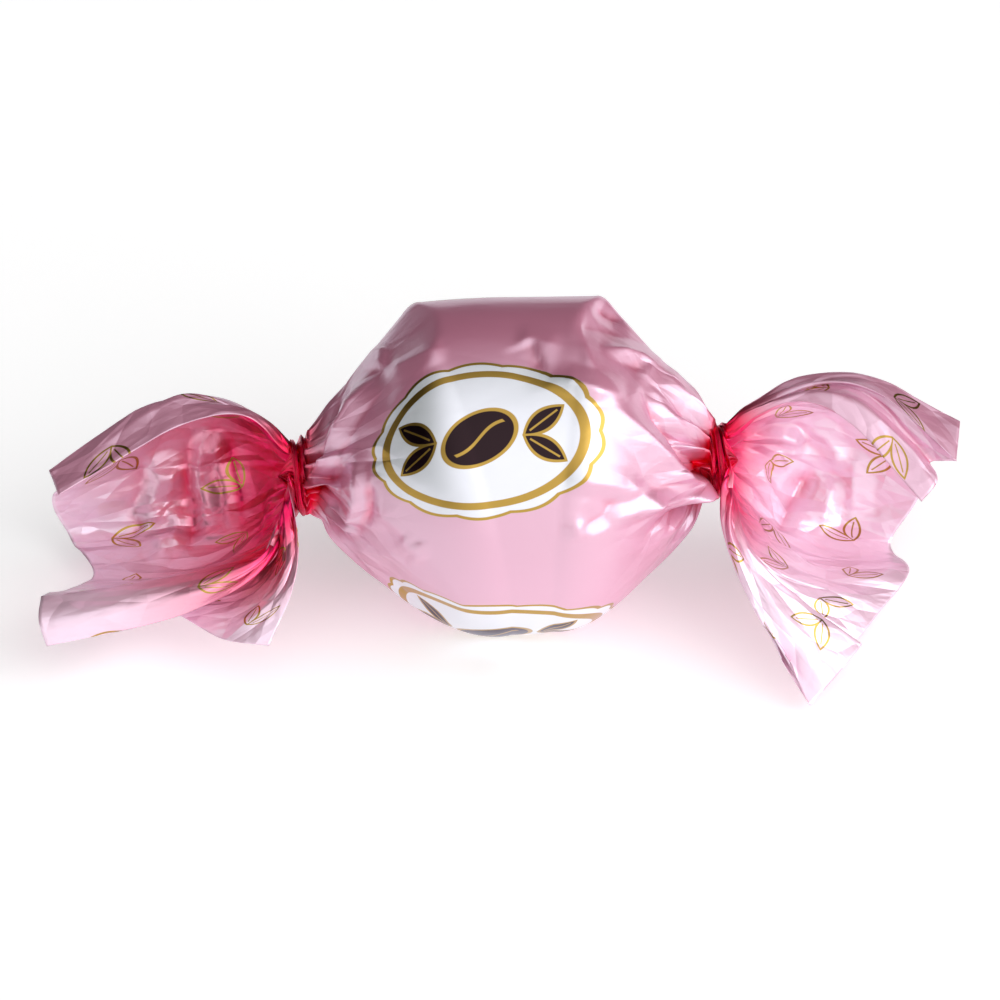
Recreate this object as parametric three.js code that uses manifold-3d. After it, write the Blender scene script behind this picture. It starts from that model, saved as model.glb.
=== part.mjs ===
// A praline in a twist wrapper of glossy pink film, lying on a table.
// The praline sits in the middle as a ball with a flattened base. The film is pulled tight round it, gathered
// into a neck at each end, and flares past each neck into a crumpled open tail.
// Millimetres. +X runs along the wrapper, +Z is up, and the label faces -Y and leans back.
// The origin is the middle of the small flat spot under the ball that the wrapper rests on.

import * as THREE from "three";
import { mergeVertices } from "three/addons/utils/BufferGeometryUtils.js";
import Module from "manifold-3d";

const wasm = await Module();
wasm.setup();

// ---- driving dimensions ----
const BALL_RADIUS = 15.0; // the wrapped praline is 30 mm across its middle
const REST_HEIGHT = 14.6; // the ball's centre above the table: a little less, so that it rests on a flat spot
const FACE_TILT = 35; // degrees that the label leans back from upright
const BASE_TURN = 100; // degrees round the wrapper, from the label over the top, to the middle of the base
const NECK_X = 18.5; // each neck's distance from the ball's centre
const NECK_RADIUS = 3.3; // the gathered film at a neck
const CORE_RINGS = [[19.8, 2.7], [20.8, 1.3]]; // [x, radius] of the gathered core as it ends inside a tail
const ROOT_RADIUS = 1.9; // a tail's folds start this far from the neck's middle, inside the core
const FILM = 0.7; // thickness that stands for the film of a tail
const TABLE = { size: 120, depth: 20 }; // the block that cuts the flat spot

// The ball along X, on the side of its flattened base and on the side of its dome. Its curve would end at
// halfLength if the film didn't cut it off, a higher squareness keeps it straighter, and blend rounds off the
// corner where the film leaves it for the neck.
const BASE = { halfLength: 21.0, squareness: 5.0, blend: 0.9 };
const DOME = { halfLength: 18.0, squareness: 2.4, blend: 1.8 };

// The two ends: a neck's height over the ball's centre, and the film's rise from it to the base and the dome.
const LEFT_END = { side: -1, neckUp: -1.1, baseSlope: 1.15, domeSlope: 0.87 };
const RIGHT_END = { side: 1, neckUp: 0.35, baseSlope: 1.18, domeSlope: 1.1 };

// Pleats that run from each neck up the shoulder and die out on the ball.
const PLEATS = 13;
const SLOW_WAVES = 7; // a second, slower wave round the wrapper, which makes the pleats uneven
const UNEVENNESS = 0.35;
const PLEAT_SWING = 0.4; // how far the waves swing about the middle of a pleat's depth
const PLEAT_SHARPNESS = 1.4; // over 1, ridges are sharper than valleys
const PLEAT_DEPTH = 0.9;
const PLEAT_REACH = 11.0;
const PLEAT_LEAN = 0.9; // radians that a pleat turns round the wrapper along its reach
const DEEPEST_SHARE = 0.8; // at the neck, a pleat is a little shallower than on the shoulder

// Fineness of the facets.
const BALL_AROUND = 52;
const BALL_ALONG = 26;
const CELLS_PER_FOLD = 3;
const CELLS_ALONG_TAIL = 9;

// A tail is one sheet hung on folds. Each fold leaves its neck at `turn` degrees (0 towards the label, 90 up,
// 180 back, 270 down), bends round `bend` and ends at the rim, at `rim`. Both are [x, up, forward] from the
// ball's centre in the label's own tilted frame. `soft` is 0 at a sharp crease and 1 on a smooth sweep.
const LEFT_FOLDS = [
  { turn: 50, soft: 0.0, bend: [-25.0, 6.6, 4.0], rim: [-39.6, -2.5, 4.5] },
  { turn: 72, soft: 0.0, bend: [-28.2, 8.5, 1.0], rim: [-40.6, -0.4, 2.0] },
  { turn: 115, soft: 1.0, bend: [-27.5, 6.4, -8.0], rim: [-40.0, -1.0, -6.0] },
  { turn: 155, soft: 1.0, bend: [-26.5, 1.5, -13.5], rim: [-41.2, -3.4, -9.5] },
  { turn: 195, soft: 1.0, bend: [-26.5, -5.0, -13.5], rim: [-39.6, -6.6, -11.5] },
  { turn: 235, soft: 1.0, bend: [-25.5, -9.6, -7.0], rim: [-37.3, -9.8, -6.0] },
  { turn: 275, soft: 0.0, bend: [-21.5, -8.8, 4.5], rim: [-41.2, -11.5, 3.0] },
  { turn: 292, soft: 1.0, bend: [-22.0, -10.4, 6.0], rim: [-41.2, -13.6, 5.0] },
  { turn: 306, soft: 0.0, bend: [-22.6, -11.8, 5.0], rim: [-40.6, -15.8, 4.5] },
  { turn: 316, soft: 0.5, bend: [-22.0, -10.8, 1.5], rim: [-33.0, -12.6, -0.5] },
  { turn: 328, soft: 0.5, bend: [-20.6, -11.0, 3.0], rim: [-29.5, -13.1, 1.0] },
  { turn: 345, soft: 1.0, bend: [-19.0, -10.6, 5.5], rim: [-25.0, -15.2, 5.0] },
  { turn: 372, soft: 0.0, bend: [-17.8, -8.8, 5.5], rim: [-21.0, -15.8, 6.0] },
];
const RIGHT_FOLDS = [
  { turn: 55, soft: 0.0, bend: [27.4, 7.2, 4.0], rim: [36.2, -3.2, 6.5] },
  { turn: 62, soft: 1.0, bend: [29.0, 8.3, 4.0], rim: [37.6, -1.4, 6.2] },
  { turn: 68, soft: 0.0, bend: [30.0, 9.1, 2.2], rim: [37.2, 0.4, 4.2] },
  { turn: 74, soft: 0.0, bend: [30.2, 9.3, 2.8], rim: [39.4, 0.4, 5.2] },
  { turn: 88, soft: 0.0, bend: [29.8, 9.6, 0.0], rim: [40.0, 4.1, 2.0] },
  { turn: 125, soft: 1.0, bend: [28.0, 6.0, -9.5], rim: [38.6, 2.4, -7.0] },
  { turn: 160, soft: 1.0, bend: [26.5, 1.0, -14.0], rim: [37.3, -2.7, -10.5] },
  { turn: 195, soft: 1.0, bend: [25.5, -5.0, -13.0], rim: [34.8, -7.0, -12.0] },
  { turn: 232, soft: 1.0, bend: [25.0, -8.6, -6.0], rim: [36.2, -9.4, -8.0] },
  { turn: 280, soft: 0.3, bend: [21.6, -8.6, 4.0], rim: [33.5, -12.7, -3.0] },
  { turn: 296, soft: 0.6, bend: [21.0, -8.6, 4.6], rim: [31.0, -15.4, 0.0] },
  { turn: 304, soft: 0.0, bend: [20.8, -8.6, 3.8], rim: [29.5, -15.3, -0.6] },
  { turn: 312, soft: 0.0, bend: [20.8, -8.4, 5.6], rim: [31.2, -15.8, 2.4] },
  { turn: 328, soft: 1.0, bend: [20.2, -8.6, 6.4], rim: [28.8, -18.5, 5.0] },
  { turn: 345, soft: 0.0, bend: [18.9, -8.0, 5.6], rim: [26.5, -21.0, 6.6] },
  { turn: 358, soft: 0.0, bend: [18.9, -8.0, 4.6], rim: [24.7, -17.3, 7.0] },
  { turn: 374, soft: 0.0, bend: [19.4, -7.6, 2.6], rim: [25.4, -16.4, 3.8] },
];
const BEND_ROUNDING = 0.55; // how far from its bend a fold starts to turn, as a share of each leg

const { clamp, degToRad, lerp, smoothstep } = THREE.MathUtils;
const FORWARD = new THREE.Vector3(0, -Math.cos(degToRad(FACE_TILT)), Math.sin(degToRad(FACE_TILT)));
const UP = new THREE.Vector3(0, Math.sin(degToRad(FACE_TILT)), Math.cos(degToRad(FACE_TILT)));

// A point given as x, up and forward from the ball's centre, in the part's own frame.
function place(x, up, forward) {
  return new THREE.Vector3(x, 0, REST_HEIGHT).addScaledVector(UP, up).addScaledVector(FORWARD, forward);
}

// ---- the ball and its necks ----

// The smaller of two lengths, with the corner between them rounded off over `blend`.
function softMin(a, b, blend) {
  const share = clamp(0.5 + (b - a) / (2 * blend), 0, 1);
  return lerp(b, a, share) - (blend * share * (1 - share)) / 2;
}

// How far a pleat sinks the film, from 0 on a ridge to 1 in a valley.
function pleatSink(turn, side) {
  const wave = Math.sin(PLEATS * turn) + UNEVENNESS * Math.sin(SLOW_WAVES * turn + 2 * side);
  return 1 - Math.pow(clamp(0.5 + PLEAT_SWING * wave, 0, 1), PLEAT_SHARPNESS);
}

// Radius of the wrapped ball at x, in the direction `turn` (radians, 0 forward and a quarter turn up).
function wrappedRadius(x, turn) {
  const end = x < 0 ? LEFT_END : RIGHT_END;
  const baseShare = 0.5 + 0.5 * Math.cos(turn - degToRad(BASE_TURN));
  const power = lerp(DOME.squareness, BASE.squareness, baseShare);
  const reach = Math.min(Math.abs(x) / lerp(DOME.halfLength, BASE.halfLength, baseShare), 1);
  const ball = BALL_RADIUS * Math.pow(1 - Math.pow(reach, power), 1 / power);
  const cone = NECK_RADIUS + (NECK_X - Math.abs(x)) * lerp(end.domeSlope, end.baseSlope, baseShare);
  const hull = softMin(Math.max(ball, NECK_RADIUS), cone, lerp(DOME.blend, BASE.blend, baseShare));
  const nearness = clamp(1 - (NECK_X - Math.abs(x)) / PLEAT_REACH, 0, 1);
  const sink = pleatSink(turn + PLEAT_LEAN * nearness * end.side, end.side);
  return hull - PLEAT_DEPTH * Math.sin(Math.PI * Math.min(nearness, DEEPEST_SHARE)) * sink;
}

// One ring round the wrapper at x, on a centre line that leaves the ball's centre for the necks.
function ballRing(x, radiusAt) {
  const end = x < 0 ? LEFT_END : RIGHT_END;
  const rise = end.neckUp * smoothstep(Math.abs(x), 0, NECK_X);
  const ring = [];
  for (let j = 0; j < BALL_AROUND; j++) {
    const turn = (2 * Math.PI * j) / BALL_AROUND;
    const radius = radiusAt(turn);
    ring.push(place(x, rise + radius * Math.sin(turn), radius * Math.cos(turn)));
  }
  return ring;
}

// The ball in its film, from the tip of one gathered core to the tip of the other.
function wrappedBall() {
  const rings = [];
  for (let i = 0; i <= BALL_ALONG; i++) {
    const x = lerp(-NECK_X, NECK_X, i / BALL_ALONG);
    rings.push(ballRing(x, (turn) => wrappedRadius(x, turn)));
  }
  for (const [x, radius] of CORE_RINGS) {
    rings.unshift(ballRing(-x, () => radius));
    rings.push(ballRing(x, () => radius));
  }
  return solidFromRings(rings);
}

// A closed solid from rings that run the same way round, with a fan of triangles at each end.
function solidFromRings(rings) {
  const around = rings[0].length;
  const middle = (ring) => ring.reduce((sum, p) => sum.add(p), new THREE.Vector3()).divideScalar(around);
  const points = [...rings.flat(), middle(rings[0]), middle(rings.at(-1))];
  const firstMiddle = points.length - 2;
  const lastMiddle = points.length - 1;
  const lastRing = (rings.length - 1) * around;
  const faces = [];
  for (let j = 0; j < around; j++) {
    const next = (j + 1) % around;
    for (let i = 0; i < lastRing; i += around) {
      faces.push(i + j, i + around + next, i + next);
      faces.push(i + j, i + around + j, i + around + next);
    }
    faces.push(firstMiddle, j, next);
    faces.push(lastMiddle, lastRing + next, lastRing + j);
  }
  return solidFrom(points, faces);
}

// ---- the tails ----

// A fold as a curve: straight from the neck towards its bend, round it, and straight on to the rim.
function foldCurve(fold, end) {
  const turn = degToRad(fold.turn);
  const rootUp = end.neckUp + ROOT_RADIUS * Math.sin(turn);
  const start = place(end.side * NECK_X, rootUp, ROOT_RADIUS * Math.cos(turn));
  const bend = place(...fold.bend);
  const rim = place(...fold.rim);
  const before = bend.clone().lerp(start, BEND_ROUNDING);
  const after = bend.clone().lerp(rim, BEND_ROUNDING);
  const curve = new THREE.CurvePath();
  curve.add(new THREE.LineCurve3(start, before));
  curve.add(new THREE.QuadraticBezierCurve3(before, bend, after));
  curve.add(new THREE.LineCurve3(after, rim));
  return curve;
}

// Points of a tail's sheet, one row from neck to rim for each step from the first fold to the last.
function sheetRows(folds, end) {
  const along = folds.map((fold) => foldCurve(fold, end).getSpacedPoints(CELLS_ALONG_TAIL));
  const slope = (k, j) => {
    const before = along[Math.max(k - 1, 0)][j];
    const after = along[Math.min(k + 1, folds.length - 1)][j];
    return after.clone().sub(before).multiplyScalar(folds[k].soft / 2);
  };
  const rows = [along[0]];
  for (let k = 0; k + 1 < folds.length; k++) {
    for (let step = 1; step <= CELLS_PER_FOLD; step++) {
      const share = step / CELLS_PER_FOLD;
      rows.push(along[k].map((p, j) => hermite(p, slope(k, j), along[k + 1][j], slope(k + 1, j), share)));
    }
  }
  return rows;
}

// The point at `share` of a curve from p to q that leaves p with slopeP and reaches q with slopeQ.
function hermite(p, slopeP, q, slopeQ, share) {
  const square = share * share;
  const cube = square * share;
  return new THREE.Vector3()
    .addScaledVector(p, 2 * cube - 3 * square + 1)
    .addScaledVector(slopeP, cube - 2 * square + share)
    .addScaledVector(q, 3 * square - 2 * cube)
    .addScaledVector(slopeQ, cube - square);
}

function normalAt(rows, i, j) {
  const row = rows[i];
  const across = rows[Math.min(i + 1, rows.length - 1)][j].clone().sub(rows[Math.max(i - 1, 0)][j]);
  const along = row[Math.min(j + 1, row.length - 1)].clone().sub(row[Math.max(j - 1, 0)]);
  return across.cross(along).normalize();
}

// A tail as a closed solid: its sheet's two sides, half the film's thickness from its rows, and its edges.
function tail(folds, end) {
  const rows = sheetRows(folds, end);
  const width = rows[0].length;
  const sidePoints = (side) =>
    rows.flatMap((row, i) => row.map((p, j) => p.clone().addScaledVector(normalAt(rows, i, j), (side * FILM) / 2)));
  const points = [...sidePoints(-1), ...sidePoints(1)];
  const other = rows.length * width;
  const lastRow = other - width;
  const faces = [];
  const quad = (a, b, c, d) => faces.push(a, b, c, a, c, d);
  for (let i = 0; i < lastRow; i += width) {
    for (let j = 0; j + 1 < width; j++) {
      const [a, b, c, d] = [i + j, i + width + j, i + width + j + 1, i + j + 1];
      quad(a, d, c, b);
      quad(other + a, other + b, other + c, other + d);
    }
    const [root, nextRoot, rim, nextRim] = [i, i + width, i + width - 1, i + 2 * width - 1];
    quad(root, nextRoot, other + nextRoot, other + root);
    quad(nextRim, rim, other + rim, other + nextRim);
  }
  for (let j = 0; j + 1 < width; j++) {
    quad(j + 1, j, other + j, other + j + 1);
    quad(lastRow + j, lastRow + j + 1, other + lastRow + j + 1, other + lastRow + j);
  }
  return solidFrom(points, faces);
}

// ---- joining and cutting ----

function solidFrom(points, faces) {
  const vertProperties = new Float32Array(points.flatMap((p) => p.toArray()));
  return new wasm.Manifold(new wasm.Mesh({ numProp: 3, vertProperties, triVerts: new Uint32Array(faces) }));
}

// The block under the table's surface.
function tableBlock() {
  const box = new THREE.BoxGeometry(TABLE.size, TABLE.size, TABLE.depth).translate(0, 0, -TABLE.depth / 2);
  box.deleteAttribute("normal");
  box.deleteAttribute("uv");
  const merged = mergeVertices(box);
  const vertProperties = merged.attributes.position.array;
  const triVerts = new Uint32Array(merged.index.array);
  return new wasm.Manifold(new wasm.Mesh({ numProp: 3, vertProperties, triVerts }));
}

function geometryOf(solid) {
  const { vertProperties, triVerts } = solid.getMesh();
  const geometry = new THREE.BufferGeometry();
  geometry.setAttribute("position", new THREE.BufferAttribute(vertProperties, 3));
  geometry.setIndex(new THREE.BufferAttribute(triVerts, 1));
  return geometry;
}

const filmPink = new THREE.MeshStandardMaterial({ color: 0xe79ac0, roughness: 0.3, metalness: 0.6 });
const wrapped = wrappedBall().add(tail(LEFT_FOLDS, LEFT_END)).add(tail(RIGHT_FOLDS, RIGHT_END));
const praline = new THREE.Mesh(geometryOf(wrapped.subtract(tableBlock())), filmPink);
praline.name = "wrapped_praline";

const group = new THREE.Group();
group.add(praline);

export default group;
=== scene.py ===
"""A praline in a twist wrapper of pink pearl film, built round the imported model.

The wrapper is one sheet of film. It starts as a smooth shape, worked out from the praline's profile and
from the folds that its two tails hang on. Pleats, creases and facets are then laid on it, and a relaxation
lets the film settle: it keeps its lengths, straightens wherever it bends only a little, and leaves the
sharp creases. The print is laid out on the flat sheet and goes wherever the film goes.

Lengths are in millimetres in the label's own frame: x along the wrapper, up, and forward out of the label,
all from the middle of the praline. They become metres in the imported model's frame when a mesh is made.
"""

from __future__ import annotations

import logging
import math
from dataclasses import dataclass, field
from enum import Enum

import bpy
import numpy as np
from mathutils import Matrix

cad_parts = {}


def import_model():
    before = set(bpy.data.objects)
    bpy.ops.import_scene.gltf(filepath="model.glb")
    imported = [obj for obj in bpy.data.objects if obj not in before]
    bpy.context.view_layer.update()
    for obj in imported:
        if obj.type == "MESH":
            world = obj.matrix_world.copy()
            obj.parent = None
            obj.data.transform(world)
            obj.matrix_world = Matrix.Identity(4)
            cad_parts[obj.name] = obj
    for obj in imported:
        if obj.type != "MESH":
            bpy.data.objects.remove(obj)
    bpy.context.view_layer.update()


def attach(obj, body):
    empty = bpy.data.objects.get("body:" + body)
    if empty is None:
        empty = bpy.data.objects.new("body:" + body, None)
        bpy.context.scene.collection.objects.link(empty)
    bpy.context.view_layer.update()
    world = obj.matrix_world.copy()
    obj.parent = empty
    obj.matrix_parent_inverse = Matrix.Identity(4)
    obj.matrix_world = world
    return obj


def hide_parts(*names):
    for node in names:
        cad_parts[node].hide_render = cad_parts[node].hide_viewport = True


LOG = logging.getLogger("praline")

MM = 0.001
BALL_RADIUS = 15.0
REST_HEIGHT = 14.6
FACE_TILT = math.radians(35.0)
FORWARD = np.array([0.0, -math.cos(FACE_TILT), math.sin(FACE_TILT)])
UP = np.array([0.0, math.sin(FACE_TILT), math.cos(FACE_TILT)])
RIGHT = np.array([1.0, 0.0, 0.0])
BALL_CENTRE = np.array([0.0, 0.0, REST_HEIGHT])
LATTICE_SIZE = 64
TINY = 1e-9
# The flat sheet's place in millimetres is kept as a UV map, with the label's middle in the map's middle.
SHEET_MAP = "flat_sheet"
SHEET_MAP_SIZE = 100.0
SHEET_MAP_MIDDLE = 0.5
RELIEF = "relief"


def to_part_frame(points: np.ndarray) -> np.ndarray:
    """Turn points of the label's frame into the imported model's frame, in metres.

    Args:
        points: Array whose last axis is (x, up, forward) in millimetres.

    Returns:
        The same array of points as (x, y, z) in metres.
    """
    axes = np.stack([RIGHT, UP, FORWARD])
    return (points @ axes + BALL_CENTRE) * MM


def smoothstep(edge0: float, edge1: float, value: np.ndarray) -> np.ndarray:
    """Ease from 0 at edge0 to 1 at edge1, with no slope at either."""
    share = np.clip((value - edge0) / (edge1 - edge0), 0.0, 1.0)
    return share * share * (3.0 - 2.0 * share)


def mix(a: np.ndarray, b: np.ndarray, share: np.ndarray) -> np.ndarray:
    """Blend from a to b by share."""
    return a + (b - a) * share


def soft_min(a: np.ndarray, b: np.ndarray, blend: np.ndarray) -> np.ndarray:
    """Smaller of a and b, with the corner between them rounded off over blend."""
    share = np.clip(0.5 + (b - a) / (2.0 * blend), 0.0, 1.0)
    return mix(b, a, share) - blend * share * (1.0 - share) / 2.0


def unit(vectors: np.ndarray) -> np.ndarray:
    """Vectors of the same directions and length 1."""
    return vectors / (np.linalg.norm(vectors, axis=-1, keepdims=True) + TINY)


def triangle_wave(phase: np.ndarray, peak: float) -> np.ndarray:
    """Wave from 0 up to 1 and back once in each whole phase, straight both ways, with its top at peak."""
    part = phase - np.floor(phase)
    return np.where(part < peak, part / peak, (1.0 - part) / (1.0 - peak))


def by_end(x: np.ndarray, left: float, right: float) -> np.ndarray:
    """The right end's size where x is above 0, and the left end's elsewhere."""
    return np.where(x > 0.0, right, left)


def lattice_squares(u: np.ndarray, v: np.ndarray, seed: int) -> tuple[np.ndarray, ...]:
    """Random values at the corners of the square that each point lies in, and its place in that square.

    Args:
        u: First coordinate, in squares of the lattice.
        v: Second coordinate.
        seed: Seed of the lattice's values.

    Returns:
        The values, from -1 to 1, at the corners (0, 0), (1, 0), (0, 1) and (1, 1), then the place along u
        and along v.
    """
    lattice = np.random.default_rng(seed).uniform(-1.0, 1.0, (LATTICE_SIZE, LATTICE_SIZE))
    u0, v0 = np.floor(u).astype(int), np.floor(v).astype(int)
    fu, fv = u - u0, v - v0
    u0, v0, u1, v1 = (number % LATTICE_SIZE for number in (u0, v0, u0 + 1, v0 + 1))
    return lattice[u0, v0], lattice[u1, v0], lattice[u0, v1], lattice[u1, v1], fu, fv


def lattice_noise(u: np.ndarray, v: np.ndarray, seed: int) -> np.ndarray:
    """Smooth random field over a plane, from -1 to 1: it eases between the four corners round a point."""
    near, right, above, far, fu, fv = lattice_squares(u, v, seed)
    fu, fv = smoothstep(0.0, 1.0, fu), smoothstep(0.0, 1.0, fv)
    return mix(mix(near, right, fu), mix(above, far, fu), fv)


def facet_noise(u: np.ndarray, v: np.ndarray, seed: int) -> np.ndarray:
    """Random field of flat triangles over a plane, from -1 to 1.

    Each square of the lattice is cut along a diagonal into two triangles, and the field is straight across
    each triangle.

    Args:
        u: First coordinate, in squares of the lattice.
        v: Second coordinate.
        seed: Seed of the lattice's values.

    Returns:
        The field at each point.
    """
    near, right, above, far, fu, fv = lattice_squares(u, v, seed)
    lower = near * (1.0 - fu - fv) + right * fu + above * fv
    upper = far * (fu + fv - 1.0) + above * (1.0 - fu) + right * (1.0 - fv)
    return np.where(fu + fv < 1.0, lower, upper)


class Side(Enum):
    """The two ends of the wrapper."""

    LEFT = -1
    RIGHT = 1


@dataclass(frozen=True)
class Crease:
    """A ridge or valley of the film along a path in a plane.

    The film rises by `height` on the path and falls off over `left` on its left-hand side and over `right`
    on its right-hand side. A negative height is a valley. Each end of it dies away over the `fade` share of
    its length.
    """

    path: tuple[tuple[float, float], ...]
    height: float
    left: float
    right: float
    fade: tuple[float, float] = (0.25, 0.25)
    sharpness: float = 1.1

    def lift(self, a: np.ndarray, b: np.ndarray) -> np.ndarray:
        """Height that the crease adds at points of its plane.

        The height falls with the distance to the path by a power of what is left of its width.

        Args:
            a: First coordinate of the points.
            b: Second coordinate.

        Returns:
            The height at each point.
        """
        best = np.full(a.shape, np.inf)
        on_left = np.zeros(a.shape, dtype=bool)
        place = np.zeros(a.shape)
        before = 0.0
        for (a0, b0), (a1, b1) in zip(self.path[:-1], self.path[1:]):
            da, db = a1 - a0, b1 - b0
            length = math.hypot(da, db)
            share = np.clip(((a - a0) * da + (b - b0) * db) / length**2, 0.0, 1.0)
            away_a, away_b = a - (a0 + share * da), b - (b0 + share * db)
            distance = np.hypot(away_a, away_b)
            closer = distance < best
            best = np.where(closer, distance, best)
            on_left = np.where(closer, da * away_b - db * away_a > 0.0, on_left)
            place = np.where(closer, before + share * length, place)
            before += length
        place /= before
        run = np.clip(place / max(self.fade[0], 1e-6), 0.0, 1.0)
        run *= np.clip((1.0 - place) / max(self.fade[1], 1e-6), 0.0, 1.0)
        width = np.where(on_left, self.left, self.right)
        return self.height * run * np.clip(1.0 - best / width, 0.0, 1.0) ** self.sharpness


@dataclass(frozen=True)
class Facet:
    """A flat of the film: nothing stands out further than `offset` along `facing`."""

    facing: tuple[float, float, float]
    offset: float
    softness: float = 0.5

    def flatten(self, points: np.ndarray) -> np.ndarray:
        """Move the points that stand beyond the flat back onto it, with its edge rounded by the softness."""
        normal = unit(np.array(self.facing))
        beyond = points @ normal - self.offset
        beyond = (beyond + np.sqrt(beyond**2 + self.softness**2)) / 2.0
        return points - beyond[..., None] * normal


@dataclass(frozen=True)
class Fold:
    """One fold that a tail hangs on.

    It leaves the neck at `turn` degrees (0 towards the label, 90 up), runs straight towards `bend`, rounds
    it and runs straight on to `rim`. `soft` is 0 at a sharp crease and 1 on a smooth sweep.
    """

    turn: float
    soft: float
    bend: tuple[float, float, float]
    rim: tuple[float, float, float]


@dataclass(frozen=True)
class WrapperEnd:
    """One end of the wrapper: its neck, its shoulder, its tail's folds and the creases inside the tail.

    `inside` gives the first and the last number of the folds between which the tail's inside shows in front.
    """

    side: Side
    neck_up: float
    neck_radius: float
    base_slope: float
    dome_slope: float
    folds: tuple[Fold, ...]
    inside: tuple[float, float]
    creases: tuple[Crease, ...]


LEFT_END = WrapperEnd(
    side=Side.LEFT,
    neck_up=-1.1,
    neck_radius=3.6,
    base_slope=1.15,
    dome_slope=0.87,
    folds=(
        Fold(50, 0.0, (-25.0, 6.6, 4.0), (-39.6, -2.5, 4.5)),
        Fold(72, 0.0, (-28.2, 8.5, 1.0), (-40.6, -0.4, 2.0)),
        Fold(115, 1.0, (-27.5, 6.4, -8.0), (-40.0, -1.0, -6.0)),
        Fold(155, 1.0, (-26.5, 1.5, -13.5), (-41.2, -3.4, -9.5)),
        Fold(195, 1.0, (-26.5, -5.0, -13.5), (-39.6, -6.6, -11.5)),
        Fold(235, 1.0, (-25.5, -9.6, -7.0), (-37.3, -9.8, -6.0)),
        Fold(275, 0.0, (-21.5, -8.8, 4.5), (-41.2, -11.5, 3.0)),
        Fold(292, 1.0, (-22.0, -10.4, 6.0), (-41.2, -13.6, 5.0)),
        Fold(306, 0.0, (-22.6, -11.8, 5.0), (-40.6, -15.8, 4.5)),
        Fold(316, 0.5, (-22.0, -10.8, 1.5), (-33.0, -12.6, -0.5)),
        Fold(328, 0.5, (-20.6, -11.0, 3.0), (-29.5, -13.1, 1.0)),
        Fold(345, 1.0, (-19.0, -10.6, 5.5), (-25.0, -15.2, 5.0)),
        Fold(372, 0.0, (-17.8, -8.8, 5.5), (-21.0, -15.8, 6.0)),
    ),
    inside=(1.2, 6.0),
    creases=(
        Crease(((-32.2, 1.4), (-32.0, -1.0), (-33.2, -5.2)), 0.8, 1.8, 1.2),
        Crease(((-30.1, 1.6), (-31.0, -3.3), (-33.4, -5.4)), 1.0, 1.6, 2.2, (0.3, 0.1)),
        Crease(((-33.4, -5.4), (-30.4, -8.7)), 0.8, 2.2, 1.6, (0.1, 0.3)),
        Crease(((-30.3, -3.6), (-29.9, -8.4)), 0.9, 1.4, 2.4),
        Crease(((-27.3, 3.6), (-27.9, 0.4), (-27.8, -1.7), (-27.3, -2.9), (-27.2, -6.9)),
               1.1, 1.8, 1.3, (0.15, 0.2)),
        Crease(((-26.2, 3.4), (-25.8, 0.4), (-25.4, -2.0), (-24.7, -6.3)), 0.9, 1.0, 1.8, (0.15, 0.2)),
        Crease(((-20.4, 0.6), (-21.4, -6.2), (-25.2, -9.0)), 0.6, 1.1, 0.9, (0.4, 0.3)),
    ),
)
RIGHT_END = WrapperEnd(
    side=Side.RIGHT,
    neck_up=0.35,
    neck_radius=3.15,
    base_slope=1.18,
    dome_slope=1.14,
    folds=(
        Fold(55, 0.0, (27.4, 7.2, 4.0), (36.2, -3.2, 6.5)),
        Fold(62, 1.0, (29.0, 8.3, 4.0), (37.6, -1.4, 6.2)),
        Fold(68, 0.0, (30.0, 9.1, 2.2), (37.2, 0.4, 4.2)),
        Fold(74, 0.0, (30.2, 9.3, 2.8), (39.4, 0.4, 5.2)),
        Fold(88, 0.0, (29.8, 9.6, 0.0), (40.0, 4.1, 2.0)),
        Fold(125, 1.0, (28.0, 6.0, -9.5), (38.6, 2.4, -7.0)),
        Fold(160, 1.0, (26.5, 1.0, -14.0), (37.3, -2.7, -10.5)),
        Fold(195, 1.0, (25.5, -5.0, -13.0), (34.8, -7.0, -12.0)),
        Fold(232, 1.0, (25.0, -8.6, -6.0), (36.2, -9.4, -8.0)),
        Fold(280, 0.3, (21.6, -8.6, 4.0), (33.5, -12.7, -3.0)),
        Fold(296, 0.6, (21.0, -8.6, 4.6), (31.0, -15.4, 0.0)),
        Fold(304, 0.0, (20.8, -8.6, 3.8), (29.5, -15.3, -0.6)),
        Fold(312, 0.0, (20.8, -8.4, 5.6), (31.2, -15.8, 2.4)),
        Fold(328, 1.0, (20.2, -8.6, 6.4), (28.8, -18.5, 5.0)),
        Fold(345, 0.0, (18.9, -8.0, 5.6), (26.5, -21.0, 6.6)),
        Fold(358, 0.0, (18.9, -8.0, 4.6), (24.7, -17.3, 7.0)),
        Fold(374, 0.0, (19.4, -7.6, 2.6), (25.4, -16.4, 3.8)),
    ),
    inside=(4.3, 9.0),
    creases=(
        Crease(((26.5, 4.0), (28.8, 2.9), (29.9, 1.5), (29.9, -0.4)), 0.8, 1.5, 1.5),
        Crease(((26.0, 3.6), (25.4, 0.8)), 0.7, 1.5, 1.2),
        Crease(((27.9, 0.2), (24.6, -6.0)), -1.0, 1.2, 1.8),
        Crease(((29.6, -0.6), (28.2, -6.4)), 0.9, 1.8, 1.8),
        Crease(((31.6, 1.5), (31.4, -5.4)), 0.7, 2.0, 2.0),
        Crease(((22.6, 0.8), (22.9, -1.4), (24.0, -2.8)), 0.6, 1.0, 1.0),
        Crease(((21.2, 1.9), (25.4, -0.2)), 0.7, 0.9, 0.9),
        Crease(((20.8, 3.2), (27.0, 2.4)), 0.6, 0.9, 0.9),
        Crease(((20.9, -3.5), (23.0, -7.0), (26.7, -8.6)), 0.8, 0.9, 0.9),
    ),
)

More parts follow.
